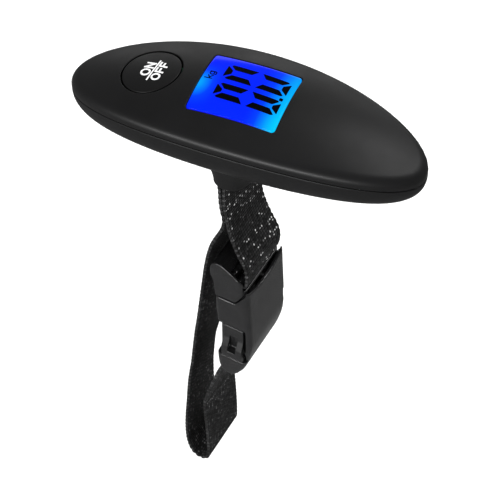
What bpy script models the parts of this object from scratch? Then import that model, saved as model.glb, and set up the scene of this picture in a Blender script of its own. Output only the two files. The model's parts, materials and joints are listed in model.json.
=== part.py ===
"""A digital luggage scale: an arched oval handle with a display, a short neck, and a strap with a buckle.

X runs along the handle and Z up. The origin is the middle of the hand grip, level with the parting line at
the handle's two tips. Lengths in the constants are in millimetres, and MM turns them into Blender's metres.
"""

import math

import bmesh
import bpy
from mathutils import Matrix, Vector

MM = 0.001
GAP = 0.3

# Handle: an ellipse in plan, with the parting line and the top arched along X.
HALF_LENGTH = 66.0
HALF_WIDTH = 24.9
ARCH = 9.85
WALL = 1.8
RIM_HEIGHT = 5.1
RIM_RADIUS = 3.55
DOME = 4.1
BELLY_DEPTH = 16.2
AROUND = 44

# Display and button, both set flush in the top.
DISPLAY_CENTRE_X = -0.4
DISPLAY_LENGTH = 31.9
DISPLAY_WIDTH = 27.2
DISPLAY_CORNER = 1.0
WINDOW_THICK = 1.6
BUTTON_X = -35.05
BUTTON_RADIUS = 10.6
CAP_THICK = 1.4
BUTTON_CLEARANCE = 0.35
STEM_BOTTOM = 12.9
STEM_RADIUS = 2.0

# Circuit board and the display stack on it.
BOARD_TOP = 10.0
BOARD_THICK = 1.2
BOARD_LEFT = -41.0
BOARD_RIGHT = 17.5
BOARD_HALF_WIDTH = 9.5
BACKLIGHT_THICK = 1.7
LCD_THICK = 1.7
LCD_HALF_LENGTH = 15.0
LCD_HALF_WIDTH = 12.4
FRAME_WALL = 1.3
FRAME_TOP = 13.7
CHIP_X = 10.5
CHIP_HALF = 4.0
CHIP_THICK = 1.3
SWITCH_HALF = 3.0
SWITCH_HEIGHT = 1.4
PLUNGER_RADIUS = 1.5
PLUNGER_LENGTH = 1.4

# Neck and strap. The strap hangs from a bar, and its faces are turned a little about Z.
# Each row of the neck's outside and bore is its half size along X, along Y, and its height.
NECK_X = -1.5
NECK_OUTSIDE = ((10.4, 18.1, -3.6), (9.9, 17.6, -6.4), (9.0, 16.7, -10.0), (8.6, 16.3, -17.0))
NECK_BORE = ((8.1, 15.8, -18.0), (7.3, 15.0, -16.0), (8.2, 15.9, -6.4), (8.6, 16.3, -2.0))
NECK_POWER = 3.0
BORE_POWER = 4.0
STRAP_YAW = math.radians(-7.0)
BAR_Z = -8.0
BAR_RADIUS = 1.5
WEBBING_WIDTH = 25.0
WEBBING_THICK = 1.4

# Load cell under the board.
CELL_LEFT = -37.0
CELL_RIGHT = 3.5
CELL_BOTTOM = -1.5
CELL_TOP = 4.5
CELL_HALF_WIDTH = 6.0
CELL_SCREWS_X = (-33.0, -27.0)
FLEXURE_X = (-18.5, -12.5)
FLEXURE_RADIUS = 2.1
GAUGE_THICK = 0.3
PLATE_BOTTOM = -4.1
PLATE_RIGHT = -22.5
PLATE_HALF_WIDTH = 11.0
SHANK_HOLE = 1.8
STUD_RADIUS = 2.0

# Steel stirrup that carries the strap bar, in axes whose zero is the bar.
STIRRUP_LOW = 4.4
STIRRUP_HIGH = 6.2
STIRRUP_HALF_X = 4.0
CHEEK_IN = 13.1
CHEEK_OUT = 14.6
STUD_TOP = 16.2
WASHER_LOW = 12.8
NUT_LOW = 13.8

# Battery compartment.
BATTERY_X = 34.0
COIN_RADIUS = 10.0
COIN_BOTTOM = -5.4
COIN_TOP = -2.2
COVER_LEFT = 22.0
COVER_RIGHT = 46.0
COVER_HALF_WIDTH = 12.5
HOLDER_BOTTOM = -4.2

# Screws that hold the two housings together: x, y and the height of each head's seat. A screw's size is
# its head's height, its head's radius and its shank's radius.
HOUSING_SCREWS = ((-50.0, -8.0, -3.0), (-50.0, 8.0, -3.0), (21.0, -16.0, 0.0), (21.0, 16.0, 0.0))
BOARD_SCREWS = ((-21.0, -7.0), (-21.0, 7.0))
HOUSING_SCREW = (1.8, 2.5, 1.3)
BOARD_SCREW = (1.5, 1.9, 0.95)
COLUMN_RADIUS = 3.8
TOP_BOSS_RADIUS = 3.2
HEAD_BORE_RADIUS = 2.9
SHANK_BORE_RADIUS = 1.6
BOARD_BOSS_RADIUS = 2.4
BOARD_PILOT_RADIUS = 1.25
FORM_SHRINK = 0.965
FORM_SHIFT = 0.9

# Heights between which the cutters through the top and through the belly run.
TOP_CUT = (12.0, 22.0)
BELLY_CUT = (-14.0, -2.0)

# Buckle, in the strap's own axes: first along the webbing's normal, then across it, then Z.
BUCKLE_HALF_WIDTH = 14.5
MOUTH_Z = -82.3
WINDOW_TOP_Z = -97.5
WINDOW_BOTTOM_Z = -118.5
CAVITY_HALF_WIDTH = 12.8
CAVITY_FLOOR_Z = -117.6
SCOOP_RADIUS = 25.9
SCOOP_LOW_Z = -78.6
LATCH_PIVOT = (9.0, -85.0)
PLUG_BAR = (5.2, -70.9)
SOCKET_BAR = (1.0, -124.5)


def remove_everything():
    for obj in list(bpy.data.objects):
        bpy.data.objects.remove(obj, do_unlink=True)


def new_collection(name):
    collection = bpy.data.collections.new(name)
    bpy.context.scene.collection.children.link(collection)
    return collection


remove_everything()
PARTS = new_collection("luggage_scale")
CUTTERS = new_collection("cutters")


def material(name, colour, roughness, metallic=0.0):
    made = bpy.data.materials.new(name)
    made.use_nodes = True
    shader = made.node_tree.nodes["Principled BSDF"]
    shader.inputs["Base Color"].default_value = (*colour, 1.0)
    shader.inputs["Roughness"].default_value = roughness
    shader.inputs["Metallic"].default_value = metallic
    return made


def add_object(name, bm, parent=None, centre=(0.0, 0.0, 0.0)):
    """Makes an object of a bmesh in millimetres, with its origin at centre in its parent's axes."""
    bmesh.ops.translate(bm, verts=bm.verts, vec=-Vector(centre))
    bmesh.ops.scale(bm, verts=bm.verts, vec=(MM, MM, MM))
    mesh = bpy.data.meshes.new(name)
    bm.to_mesh(mesh)
    bm.free()
    obj = bpy.data.objects.new(name, mesh)
    PARTS.objects.link(obj)
    obj.location = Vector(centre) * MM
    obj.parent = parent
    return obj


def finish(obj, made_material, smooth_angle=35.0):
    obj.data.materials.append(made_material)
    obj.data.shade_smooth()
    obj.data.set_sharp_from_angle(angle=math.radians(smooth_angle))
    return obj


def as_cutter(obj):
    PARTS.objects.unlink(obj)
    CUTTERS.objects.link(obj)
    obj.hide_render = True
    obj.display_type = "WIRE"
    return obj


def boolean(obj, tool, operation="DIFFERENCE"):
    modifier = obj.modifiers.new(tool.name, "BOOLEAN")
    modifier.operation = operation
    modifier.object = tool
    return obj


def cut(obj, tool):
    return boolean(obj, as_cutter(tool))


def join(obj, tool):
    return boolean(obj, as_cutter(tool), "UNION")


def box(name, low, high, bevel=0.0, **place):
    bm = bmesh.new()
    size = Vector(high) - Vector(low)
    middle = (Vector(high) + Vector(low)) / 2
    bmesh.ops.create_cube(bm, size=1.0)
    bmesh.ops.scale(bm, verts=bm.verts, vec=size)
    bmesh.ops.translate(bm, verts=bm.verts, vec=middle)
    obj = add_object(name, bm, **place)
    if bevel:
        modifier = obj.modifiers.new("edges", "BEVEL")
        modifier.width = bevel * MM
        modifier.segments = 2
    return obj


def cylinder(name, start, axis, length, radius, sides=24, **place):
    """A round bar from start, along axis (a unit vector) for length."""
    bm = bmesh.new()
    bmesh.ops.create_cone(
        bm, cap_ends=True, segments=sides, radius1=radius, radius2=radius, depth=length
    )
    turn = Vector((0, 0, 1)).rotation_difference(Vector(axis)).to_matrix().to_4x4()
    middle = Vector(start) + Vector(axis) * length / 2
    bmesh.ops.transform(bm, matrix=Matrix.Translation(middle) @ turn, verts=bm.verts)
    return add_object(name, bm, **place)


def loft(name, rings, close=True, pole_start=None, pole_end=None, **place):
    """Joins rings of equal point counts, and closes each end with a cap or with a pole."""
    bm = bmesh.new()
    rows = [[bm.verts.new(point) for point in ring] for ring in rings]
    count = len(rows[0])
    for lower, upper in zip(rows, rows[1:]):
        for i in range(count):
            j = (i + 1) % count
            bm.faces.new((lower[i], lower[j], upper[j], upper[i]))
    for row, pole in ((rows[0], pole_start), (rows[-1], pole_end)):
        if pole is not None:
            tip = bm.verts.new(pole)
            for i in range(count):
                bm.faces.new((row[i], row[(i + 1) % count], tip))
        elif close:
            bm.faces.new(row)
    bmesh.ops.recalc_face_normals(bm, faces=bm.faces)
    return add_object(name, bm, **place)


def outline_solid(name, outline, low, high, plane, **place):
    """A flat outline given a thickness from low to high: along Y in plane 'xz', and along X in plane 'yz'."""
    curve = bpy.data.curves.new(name, "CURVE")
    curve.dimensions = "2D"
    curve.fill_mode = "BOTH"
    curve.extrude = (high - low) / 2
    spline = curve.splines.new("POLY")
    spline.points.add(len(outline) - 1)
    for point, (u, v) in zip(spline.points, outline):
        point.co = (u, v, 0.0, 1.0)
    spline.use_cyclic_u = True
    guide = bpy.data.objects.new(name + "_outline", curve)
    bpy.context.scene.collection.objects.link(guide)
    graph = bpy.context.evaluated_depsgraph_get()
    bm = bmesh.new()
    flat = bpy.data.meshes.new_from_object(guide.evaluated_get(graph))
    bm.from_mesh(flat)
    bpy.data.meshes.remove(flat)
    bpy.data.objects.remove(guide, do_unlink=True)
    bmesh.ops.remove_doubles(bm, verts=bm.verts, dist=1e-4)
    middle = (high + low) / 2
    for vert in bm.verts:
        u, v, depth = vert.co
        vert.co = (u, middle + depth, v) if plane == "xz" else (middle + depth, u, v)
    bmesh.ops.recalc_face_normals(bm, faces=bm.faces)
    if bm.calc_volume(signed=True) < 0:
        bmesh.ops.reverse_faces(bm, faces=bm.faces)
    return add_object(name, bm, **place)


def wire(name, points, radius, colour_material):
    """A thin insulated wire through its points."""
    curve = bpy.data.curves.new(name, "CURVE")
    curve.dimensions = "3D"
    curve.bevel_depth = radius * MM
    curve.bevel_resolution = 2
    curve.use_fill_caps = True
    spline = curve.splines.new("POLY")
    route = smooth_route(points, 3)
    spline.points.add(len(route) - 1)
    for point, place in zip(spline.points, route):
        point.co = (*(Vector(place) * MM), 1.0)
    obj = bpy.data.objects.new(name, curve)
    obj.data.materials.append(colour_material)
    PARTS.objects.link(obj)
    return obj


def smooth_route(points, steps):
    """Points along a Catmull-Rom curve through the given points."""
    known = [Vector(point) for point in points]
    known = [known[0] * 2 - known[1], *known, known[-1] * 2 - known[-2]]
    route = []
    for a, b, c, d in zip(known, known[1:], known[2:], known[3:]):
        for step in range(steps):
            t = step / steps
            bend = (2 * a - 5 * b + 4 * c - d) * t**2 + (3 * b - a - 3 * c + d) * t**3
            route.append(0.5 * (2 * b + (c - a) * t + bend))
    route.append(known[-2])
    return route


def arch(x):
    """Height of the parting line at x."""
    return ARCH * (1 - (x / HALF_LENGTH) ** 2)


def top_height(x, y):
    """Height of the domed top inside its rounded rim."""
    inner = (x / (HALF_LENGTH - RIM_RADIUS)) ** 2 + (y / (HALF_WIDTH - RIM_RADIUS)) ** 2
    return arch(x) + RIM_HEIGHT + DOME * (1 - inner)


def belly_height(x, y):
    """Height of the lower shell's outer surface."""
    spread = (x / HALF_LENGTH) ** 2 + (y / HALF_WIDTH) ** 2
    return arch(x) - BELLY_DEPTH * max(0.0, 1 - spread**2) ** (1 / 2.3)


def plan_ring(inset, height_at):
    """One ring of the handle's plan ellipse, drawn in by inset, at the height that height_at gives."""
    ring = []
    for i in range(AROUND):
        angle = 2 * math.pi * i / AROUND
        x = (HALF_LENGTH - inset) * math.cos(angle)
        y = (HALF_WIDTH - inset) * math.sin(angle)
        ring.append((x, y, height_at(x, y)))
    return ring


def scaled_ring(scale, inset, height_at):
    ring = []
    for i in range(AROUND):
        angle = 2 * math.pi * i / AROUND
        x = scale * (HALF_LENGTH - inset) * math.cos(angle)
        y = scale * (HALF_WIDTH - inset) * math.sin(angle)
        ring.append((x, y, height_at(x, y)))
    return ring


def top_rings():
    """Rings of the upper shell's outer surface, from the parting line over the rim to the dome."""
    wall_top = RIM_HEIGHT - RIM_RADIUS
    rings = [
        plan_ring(0.0, lambda x, y: arch(x) + GAP / 2),
        plan_ring(0.0, lambda x, y: arch(x) + wall_top),
    ]
    for degrees in (30, 60):
        turn = math.radians(degrees)
        rise = wall_top + RIM_RADIUS * math.sin(turn)
        inset = RIM_RADIUS * (1 - math.cos(turn))
        rings.append(plan_ring(inset, lambda x, y, rise=rise: arch(x) + rise))
    for scale in (1.0, 0.88, 0.74, 0.58, 0.4, 0.2):
        rings.append(scaled_ring(scale, RIM_RADIUS, top_height))
    return rings


def belly_rings():
    """Rings of the lower shell's outer surface, from the parting line down."""
    rings = [plan_ring(0.0, lambda x, y: arch(x) - GAP / 2)]
    for degrees in (9, 20, 33, 47, 60, 71, 81):
        scale = math.sqrt(math.cos(math.radians(degrees)))
        rings.append(scaled_ring(scale, 0.0, belly_height))
    return rings


def top_shell(name, thickness):
    """The upper shell as an open domed surface with a wall, thickened inwards."""
    tip = (0.0, 0.0, top_height(0.0, 0.0))
    return thicken(loft(name, top_rings(), close=False, pole_end=tip), thickness)


def belly_shell(name, thickness):
    """The lower shell as an open surface, thickened inwards."""
    tip = (0.0, 0.0, belly_height(0.0, 0.0))
    return thicken(loft(name, belly_rings(), close=False, pole_end=tip), thickness)


def inner_form(name, rings, tip, drop):
    """A closed form of the handle inside its walls' outer skin, which the screw columns are trimmed to."""
    inside = [[(x * FORM_SHRINK, y * FORM_SHRINK, z + drop) for x, y, z in ring] for ring in rings]
    middle = (0.0, 0.0, arch(0.0))
    return as_cutter(loft(name, inside, pole_start=middle, pole_end=(0.0, 0.0, tip + drop)))


def thicken(obj, thickness):
    modifier = obj.modifiers.new("wall", "SOLIDIFY")
    modifier.thickness = thickness * MM
    modifier.offset = -1.0
    return obj


def oval_ring(half_x, half_y, power, z, sides=40):
    """A superellipse round the neck's axis."""
    ring = []
    for i in range(sides):
        angle = 2 * math.pi * i / sides
        c, s = math.cos(angle), math.sin(angle)
        x = half_x * math.copysign(abs(c) ** (2 / power), c)
        y = half_y * math.copysign(abs(s) ** (2 / power), s)
        ring.append((NECK_X + x, y, z))
    return ring


def rounded_rectangle(low, high, radius, z, steps=3):
    """The corners of a rectangle from low to high, rounded, as a ring at height z."""
    ring = []
    centres = (
        (high[0] - radius, high[1] - radius, 0),
        (low[0] + radius, high[1] - radius, 90),
        (low[0] + radius, low[1] + radius, 180),
        (high[0] - radius, low[1] + radius, 270),
    )
    for x, y, start in centres:
        for i in range(steps + 1):
            angle = math.radians(start + 90 * i / steps)
            ring.append((x + radius * math.cos(angle), y + radius * math.sin(angle), z))
    return ring


def upright_block(name, low, high, radius, bottom, top, **place):
    rings = [rounded_rectangle(low, high, radius, z) for z in (bottom, top)]
    return loft(name, rings, **place)


def empty(name, location, yaw):
    obj = bpy.data.objects.new(name, None)
    PARTS.objects.link(obj)
    obj.location = Vector(location) * MM
    obj.rotation_euler = (0.0, 0.0, yaw)
    return obj


UP = (0.0, 0.0, 1.0)
ACROSS = (0.0, 1.0, 0.0)
black_shell = material("black_soft_touch", (0.022, 0.022, 0.023), 0.55)
black_button = material("button_black", (0.02, 0.02, 0.021), 0.5)
window_plastic = material("display_window", (0.02, 0.05, 0.45), 0.12)
lcd_glass = material("lcd_glass", (0.25, 0.33, 0.3), 0.1)
backlight_white = material("backlight_white", (0.75, 0.8, 0.85), 0.4)
frame_plastic = material("frame_white_plastic", (0.6, 0.6, 0.58), 0.5)
contact_rubber = material("contact_rubber", (0.5, 0.32, 0.3), 0.7)
board_green = material("circuit_board_green", (0.02, 0.16, 0.07), 0.45)
chip_black = material("chip_epoxy", (0.012, 0.012, 0.012), 0.35)
switch_steel = material("switch_case", (0.55, 0.55, 0.56), 0.35, 0.9)
aluminium = material("load_cell_aluminium", (0.72, 0.73, 0.75), 0.4, 1.0)
gauge_film = material("strain_gauge_film", (0.7, 0.42, 0.08), 0.4)
steel = material("zinc_plated_steel", (0.62, 0.62, 0.63), 0.3, 1.0)
coin_steel = material("coin_cell_steel", (0.78, 0.78, 0.79), 0.22, 1.0)
contact_metal = material("nickel_contact", (0.7, 0.66, 0.58), 0.3, 1.0)
webbing_black = material("polypropylene_webbing", (0.012, 0.012, 0.013), 0.75)
buckle_plastic = material("acetal_black", (0.025, 0.025, 0.027), 0.28)
lead_grey = material("lead_grey", (0.3, 0.3, 0.32), 0.5)
lead_red = material("lead_red", (0.5, 0.03, 0.02), 0.5)
lead_black = material("lead_black", (0.015, 0.015, 0.015), 0.5)


def make_top_housing():
    housing = top_shell("top_housing", WALL)
    form = inner_form("top_form", top_rings(), top_height(0.0, 0.0), -FORM_SHIFT)
    for i, (x, y) in enumerate(BOARD_SCREWS):
        boss = cylinder(f"board_boss_{i}", (x, y, BOARD_TOP + GAP), UP, 9.0, BOARD_BOSS_RADIUS)
        join(housing, boolean(boss, form, "INTERSECT"))
        pilot = cylinder(f"board_pilot_{i}", (x, y, BOARD_TOP - 1), UP, 4.8, BOARD_PILOT_RADIUS, 16)
        cut(housing, pilot)
    for i, (x, y, _) in enumerate(HOUSING_SCREWS):
        bottom = arch(abs(x) - TOP_BOSS_RADIUS) + 0.5
        boss = cylinder(f"top_boss_{i}", (x, y, bottom), UP, top_height(x, y) - bottom, TOP_BOSS_RADIUS)
        join(housing, boolean(boss, form, "INTERSECT"))
        cut(housing, cylinder(f"top_pilot_{i}", (x, y, bottom - 1), UP, 3.8, SHANK_BORE_RADIUS, 16))
    low_x = DISPLAY_CENTRE_X - DISPLAY_LENGTH / 2 - GAP
    high_x = DISPLAY_CENTRE_X + DISPLAY_LENGTH / 2 + GAP
    half_y = DISPLAY_WIDTH / 2 + GAP
    corner = DISPLAY_CORNER + GAP
    cut(housing, upright_block("display_opening", (low_x, -half_y), (high_x, half_y), corner, *TOP_CUT))
    hole_radius = BUTTON_RADIUS + BUTTON_CLEARANCE
    cut(housing, cylinder("button_hole", (BUTTON_X, 0, 9.0), UP, 10.0, hole_radius, 48))
    return finish(housing, black_shell)


def make_bottom_housing():
    housing = belly_shell("bottom_housing", WALL)
    form = inner_form("belly_form", belly_rings(), belly_height(0.0, 0.0), FORM_SHIFT)
    join(housing, loft("neck", [oval_ring(hx, hy, NECK_POWER, z) for hx, hy, z in NECK_OUTSIDE]))
    for i, x in enumerate(CELL_SCREWS_X):
        for side in (-1, 1):
            low = (x - 2.0, side * 8.6 - 1.6, belly_height(x, 9.0) + 0.8)
            high = (x + 2.0, side * 8.6 + 1.6, PLATE_BOTTOM - GAP)
            join(housing, box(f"plate_rest_{i}_{side}", low, high))
    for i, (x, y, seat) in enumerate(HOUSING_SCREWS):
        bottom = belly_height(x, y) - 4.0
        top = arch(abs(x) + 4.0) - 0.5
        column = cylinder(f"column_{i}", (x, y, bottom), UP, top - bottom, COLUMN_RADIUS)
        join(housing, boolean(column, form, "INTERSECT"))
        deep = BELLY_CUT[0]
        cut(housing, cylinder(f"head_bore_{i}", (x, y, deep), UP, seat - deep, HEAD_BORE_RADIUS))
        cut(housing, cylinder(f"shank_bore_{i}", (x, y, seat - 1), UP, 14.0, SHANK_BORE_RADIUS, 16))
    cut(housing, loft("neck_bore", [oval_ring(hx, hy, BORE_POWER, z) for hx, hy, z in NECK_BORE]))
    low = (COVER_LEFT - GAP, -COVER_HALF_WIDTH - GAP, BELLY_CUT[0])
    high = (COVER_RIGHT + 2 * GAP, COVER_HALF_WIDTH + GAP, BELLY_CUT[1])
    cut(housing, box("battery_opening", low, high))
    return finish(housing, black_shell)


def make_display_window():
    window = top_shell("display_window", WINDOW_THICK)
    low = (DISPLAY_CENTRE_X - DISPLAY_LENGTH / 2, -DISPLAY_WIDTH / 2)
    high = (DISPLAY_CENTRE_X + DISPLAY_LENGTH / 2, DISPLAY_WIDTH / 2)
    outline = upright_block("display_outline", low, high, DISPLAY_CORNER, *TOP_CUT)
    boolean(window, as_cutter(outline), "INTERSECT")
    return finish(window, window_plastic)


def make_power_button():
    button = top_shell("power_button", CAP_THICK)
    rim = cylinder("button_outline", (BUTTON_X, 0, 8.0), UP, 11.0, BUTTON_RADIUS, 48)
    boolean(button, as_cutter(rim), "INTERSECT")
    join(button, cylinder("button_stem", (BUTTON_X, 0, STEM_BOTTOM), UP, 1.3, STEM_RADIUS, 20))
    return finish(button, black_button)


def make_display_stack():
    x = DISPLAY_CENTRE_X
    bottom = BOARD_TOP + GAP
    strip_right = x - LCD_HALF_LENGTH + 2.2
    light_low = (strip_right + 0.4, -LCD_HALF_WIDTH + 0.4, bottom)
    light_high = (x + LCD_HALF_LENGTH, LCD_HALF_WIDTH - 0.4, bottom + BACKLIGHT_THICK)
    finish(box("backlight_panel", light_low, light_high), backlight_white)
    lcd_low = bottom + BACKLIGHT_THICK + GAP
    low = (x - LCD_HALF_LENGTH, -LCD_HALF_WIDTH, lcd_low)
    finish(box("lcd_panel", low, (x + LCD_HALF_LENGTH, LCD_HALF_WIDTH, lcd_low + LCD_THICK)), lcd_glass)
    strip = box("zebra_strip", (x - LCD_HALF_LENGTH, -11.5, bottom), (strip_right, 11.5, lcd_low - GAP))
    finish(strip, contact_rubber)
    inside_x, inside_y = LCD_HALF_LENGTH + GAP, LCD_HALF_WIDTH + GAP
    outside_x, outside_y = inside_x + FRAME_WALL, inside_y + FRAME_WALL - 0.2
    outer_low, outer_high = (x - outside_x, -outside_y), (x + outside_x, outside_y)
    frame = upright_block("lcd_frame", outer_low, outer_high, 1.0, bottom, FRAME_TOP)
    cut(frame, box("frame_opening", (x - inside_x, -inside_y, 9.0), (x + inside_x, inside_y, 16.0)))
    finish(frame, frame_plastic)


def make_circuit_board():
    low, high = (BOARD_LEFT, -BOARD_HALF_WIDTH), (BOARD_RIGHT, BOARD_HALF_WIDTH)
    board = upright_block("circuit_board", low, high, 1.5, BOARD_TOP - BOARD_THICK, BOARD_TOP)
    for i, (x, y) in enumerate(BOARD_SCREWS):
        cut(board, cylinder(f"board_hole_{i}", (x, y, 6.0), UP, 6.0, 1.3, 16))
    finish(board, board_green)
    under = BOARD_TOP - BOARD_THICK - GAP
    low = (CHIP_X - CHIP_HALF, -CHIP_HALF, under - CHIP_THICK)
    finish(box("controller_chip", low, (CHIP_X + CHIP_HALF, CHIP_HALF, under), bevel=0.4), chip_black)
    for i, (x, y) in enumerate(BOARD_SCREWS):
        make_screw(f"board_screw_{i + 1}", (x, y), under, BOARD_SCREW, 13.4 - under)


def make_screw(name, place, head_top, size, shank_length):
    """A pan-head screw, head down, with a driver recess. Its size is as HOUSING_SCREW gives it."""
    x, y = place
    head_height, head_radius, shank_radius = size
    head_low = head_top - head_height
    screw = cylinder(name, (x, y, head_low), UP, head_height, head_radius, 20)
    join(screw, cylinder(name + "_shank", (x, y, head_top - 0.4), UP, shank_length + 0.4, shank_radius, 16))
    slot = head_radius * 0.62
    for i, (dx, dy) in enumerate(((slot, 0.3), (0.3, slot))):
        low = (x - dx, y - dy, head_low - 1)
        cut(screw, box(f"{name}_slot_{i}", low, (x + dx, y + dy, head_low + head_height * 0.45)))
    return finish(screw, steel)


def make_housing_screws():
    for i, (x, y, seat) in enumerate(HOUSING_SCREWS):
        length = min(top_height(x, y) - WALL - 1.5 - seat, 11.0)
        make_screw(f"housing_screw_{i + 1}", (x, y), seat - GAP, HOUSING_SCREW, length)


def make_switch():
    x, low = BUTTON_X, BOARD_TOP + GAP
    corner = (x + SWITCH_HALF, SWITCH_HALF, low + SWITCH_HEIGHT)
    body = box("switch_body", (x - SWITCH_HALF, -SWITCH_HALF, low), corner)
    cut(body, cylinder("switch_bore", (x, 0, low - 1), UP, 4.0, PLUNGER_RADIUS + 0.4, 20))
    finish(body, switch_steel)
    start = (x, 0, low + 0.9)
    plunger = cylinder("switch_plunger", start, UP, PLUNGER_LENGTH, PLUNGER_RADIUS, 20, centre=start)
    finish(plunger, black_button)


def make_load_cell():
    low, high = (CELL_LEFT, -CELL_HALF_WIDTH), (CELL_RIGHT, CELL_HALF_WIDTH)
    beam = upright_block("load_cell", low, high, 1.0, CELL_BOTTOM, CELL_TOP)
    middle = (CELL_BOTTOM + CELL_TOP) / 2
    for i, x in enumerate(FLEXURE_X):
        cut(beam, cylinder(f"flexure_{i}", (x, -8, middle), ACROSS, 16, FLEXURE_RADIUS, 20))
    cut(beam, box("flexure_slot", (FLEXURE_X[0], -8, middle - 0.8), (FLEXURE_X[1], 8, middle + 0.8)))
    for i, x in enumerate(CELL_SCREWS_X):
        cut(beam, cylinder(f"cell_hole_{i}", (x, 0, -4), UP, 12, SHANK_HOLE, 16))
    cut(beam, cylinder("stud_hole", (NECK_X, 0, -4), UP, 12, STUD_RADIUS + 0.4, 20))
    finish(beam, aluminium)
    gauge_low, gauge_high = FLEXURE_X[0] - 0.5, FLEXURE_X[1] + 0.5
    gauges = (("strain_gauge_top", CELL_TOP + GAP), ("strain_gauge_bottom", CELL_BOTTOM - GAP - GAUGE_THICK))
    for name, low_z in gauges:
        finish(box(name, (gauge_low, -2.5, low_z), (gauge_high, 2.5, low_z + GAUGE_THICK)), gauge_film)
    corners = (CELL_LEFT, -PLATE_HALF_WIDTH), (PLATE_RIGHT, PLATE_HALF_WIDTH)
    plate = upright_block("load_cell_mount", *corners, 1.0, PLATE_BOTTOM, CELL_BOTTOM - GAP)
    for i, x in enumerate(CELL_SCREWS_X):
        cut(plate, cylinder(f"plate_hole_{i}", (x, 0, -6), UP, 8, SHANK_HOLE, 16))
        make_cell_screw(f"load_cell_screw_{i + 1}", x)
    finish(plate, steel)


def make_cell_screw(name, x):
    top = CELL_TOP + GAP
    low = PLATE_BOTTOM + 0.2
    screw = cylinder(name, (x, 0, top), UP, 1.8, 2.7, 20)
    join(screw, cylinder(name + "_shank", (x, 0, low), UP, top - low + 0.4, SHANK_HOLE - GAP, 16))
    cut(screw, cylinder(name + "_socket", (x, 0, top + 0.7), UP, 3.0, 1.3, 6))
    return finish(screw, steel)


def make_hanger(turned):
    """The steel stirrup under the load cell, turned with the strap, with its stud up through the cell."""
    place = {"parent": turned}
    low = (-STIRRUP_HALF_X, -CHEEK_OUT, STIRRUP_LOW)
    stirrup = box("hanger_stirrup", low, (STIRRUP_HALF_X, CHEEK_OUT, STIRRUP_HIGH), **place)
    cheek = [(-3.2, 5.0), (3.2, 5.0), (3.2, -0.6), (1.8, -2.5), (-1.8, -2.5), (-3.2, -0.6)]
    for side in (-1, 1):
        inner, outer = sorted((side * CHEEK_IN, side * CHEEK_OUT))
        join(stirrup, outline_solid(f"cheek_{side}", cheek, inner, outer, "xz", **place))
    join(stirrup, cylinder("stud", (0, 0, 5.0), UP, STUD_TOP - 5.0, STUD_RADIUS, 20, **place))
    cut(stirrup, cylinder("bar_holes", (0, -16, 0), ACROSS, 32, BAR_RADIUS + GAP, 20, **place))
    finish(stirrup, steel)
    washer = cylinder("hanger_washer", (0, 0, WASHER_LOW), UP, 0.7, 4.2, 24, **place)
    cut(washer, cylinder("washer_bore", (0, 0, 12), UP, 3, STUD_RADIUS + 0.35, 20, **place))
    finish(washer, steel)
    nut = cylinder("hanger_nut", (0, 0, NUT_LOW), UP, 2.2, 3.8, 6, **place)
    cut(nut, cylinder("nut_bore", (0, 0, 13), UP, 5, STUD_RADIUS + 0.35, 20, **place))
    finish(nut, steel)
    bar_half = CHEEK_OUT + GAP
    finish(cylinder("strap_bar", (0, -bar_half, 0), ACROSS, 2 * bar_half, BAR_RADIUS, 20, **place), steel)


def make_battery():
    x, r = BATTERY_X, COIN_RADIUS
    finish(cylinder("coin_cell", (x, 0, COIN_BOTTOM), UP, COIN_TOP - COIN_BOTTOM, r, 40), coin_steel)
    holder = upright_block("battery_holder", (x - 12.0, -11.6), (x + 11.4, 11.6), 1.5, HOLDER_BOTTOM, 0.0)
    cut(holder, cylinder("coin_pocket", (x, 0, -8), UP, 8 + COIN_TOP + 0.9, r + GAP, 40))
    cut(holder, box("contact_notch", (x - 11.4, -3.4, -8), (x - 8.0, 3.4, 2.0)))
    finish(holder, frame_plastic)
    leaf = box("battery_contact_plus", (x - 11.1, -3.1, -4.0), (x - 10.6, 3.1, 1.8))
    finish(leaf, contact_metal)
    low_z, high_z = COIN_TOP + GAP, COIN_TOP + 2 * GAP
    spring = [(x - 5, low_z), (x + 5, low_z), (x + 5, high_z), (x - 5, high_z)]
    finish(outline_solid("battery_contact_minus", spring, -2.0, 2.0, "xz"), contact_metal)


def make_battery_cover():
    cover = belly_shell("battery_cover", WALL)
    low = (COVER_LEFT, -COVER_HALF_WIDTH, BELLY_CUT[0])
    outline = box("cover_outline", low, (COVER_RIGHT, COVER_HALF_WIDTH, BELLY_CUT[1]))
    boolean(cover, as_cutter(outline), "INTERSECT")
    return finish(cover, black_shell)


def make_wires():
    from_cell = [(-20.5, 3.4, 5.4), (-21.5, 4.6, 6.2), (-23.5, 5.6, 7.0), (-26.0, 6.0, 7.8)]
    from_plus = [(20.9, 1.5, 2.2), (19.4, 1.8, 4.0), (17.6, 2.2, 6.0), (16.0, 2.6, 7.9)]
    from_minus = [(24.0, -8.0, 0.8), (21.0, -8.0, 2.6), (18.0, -7.6, 5.4), (15.5, -7.2, 7.9)]
    wire("load_cell_lead", from_cell, 0.5, lead_grey)
    wire("battery_lead_plus", from_plus, 0.45, lead_red)
    wire("battery_lead_minus", from_minus, 0.45, lead_black)


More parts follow.
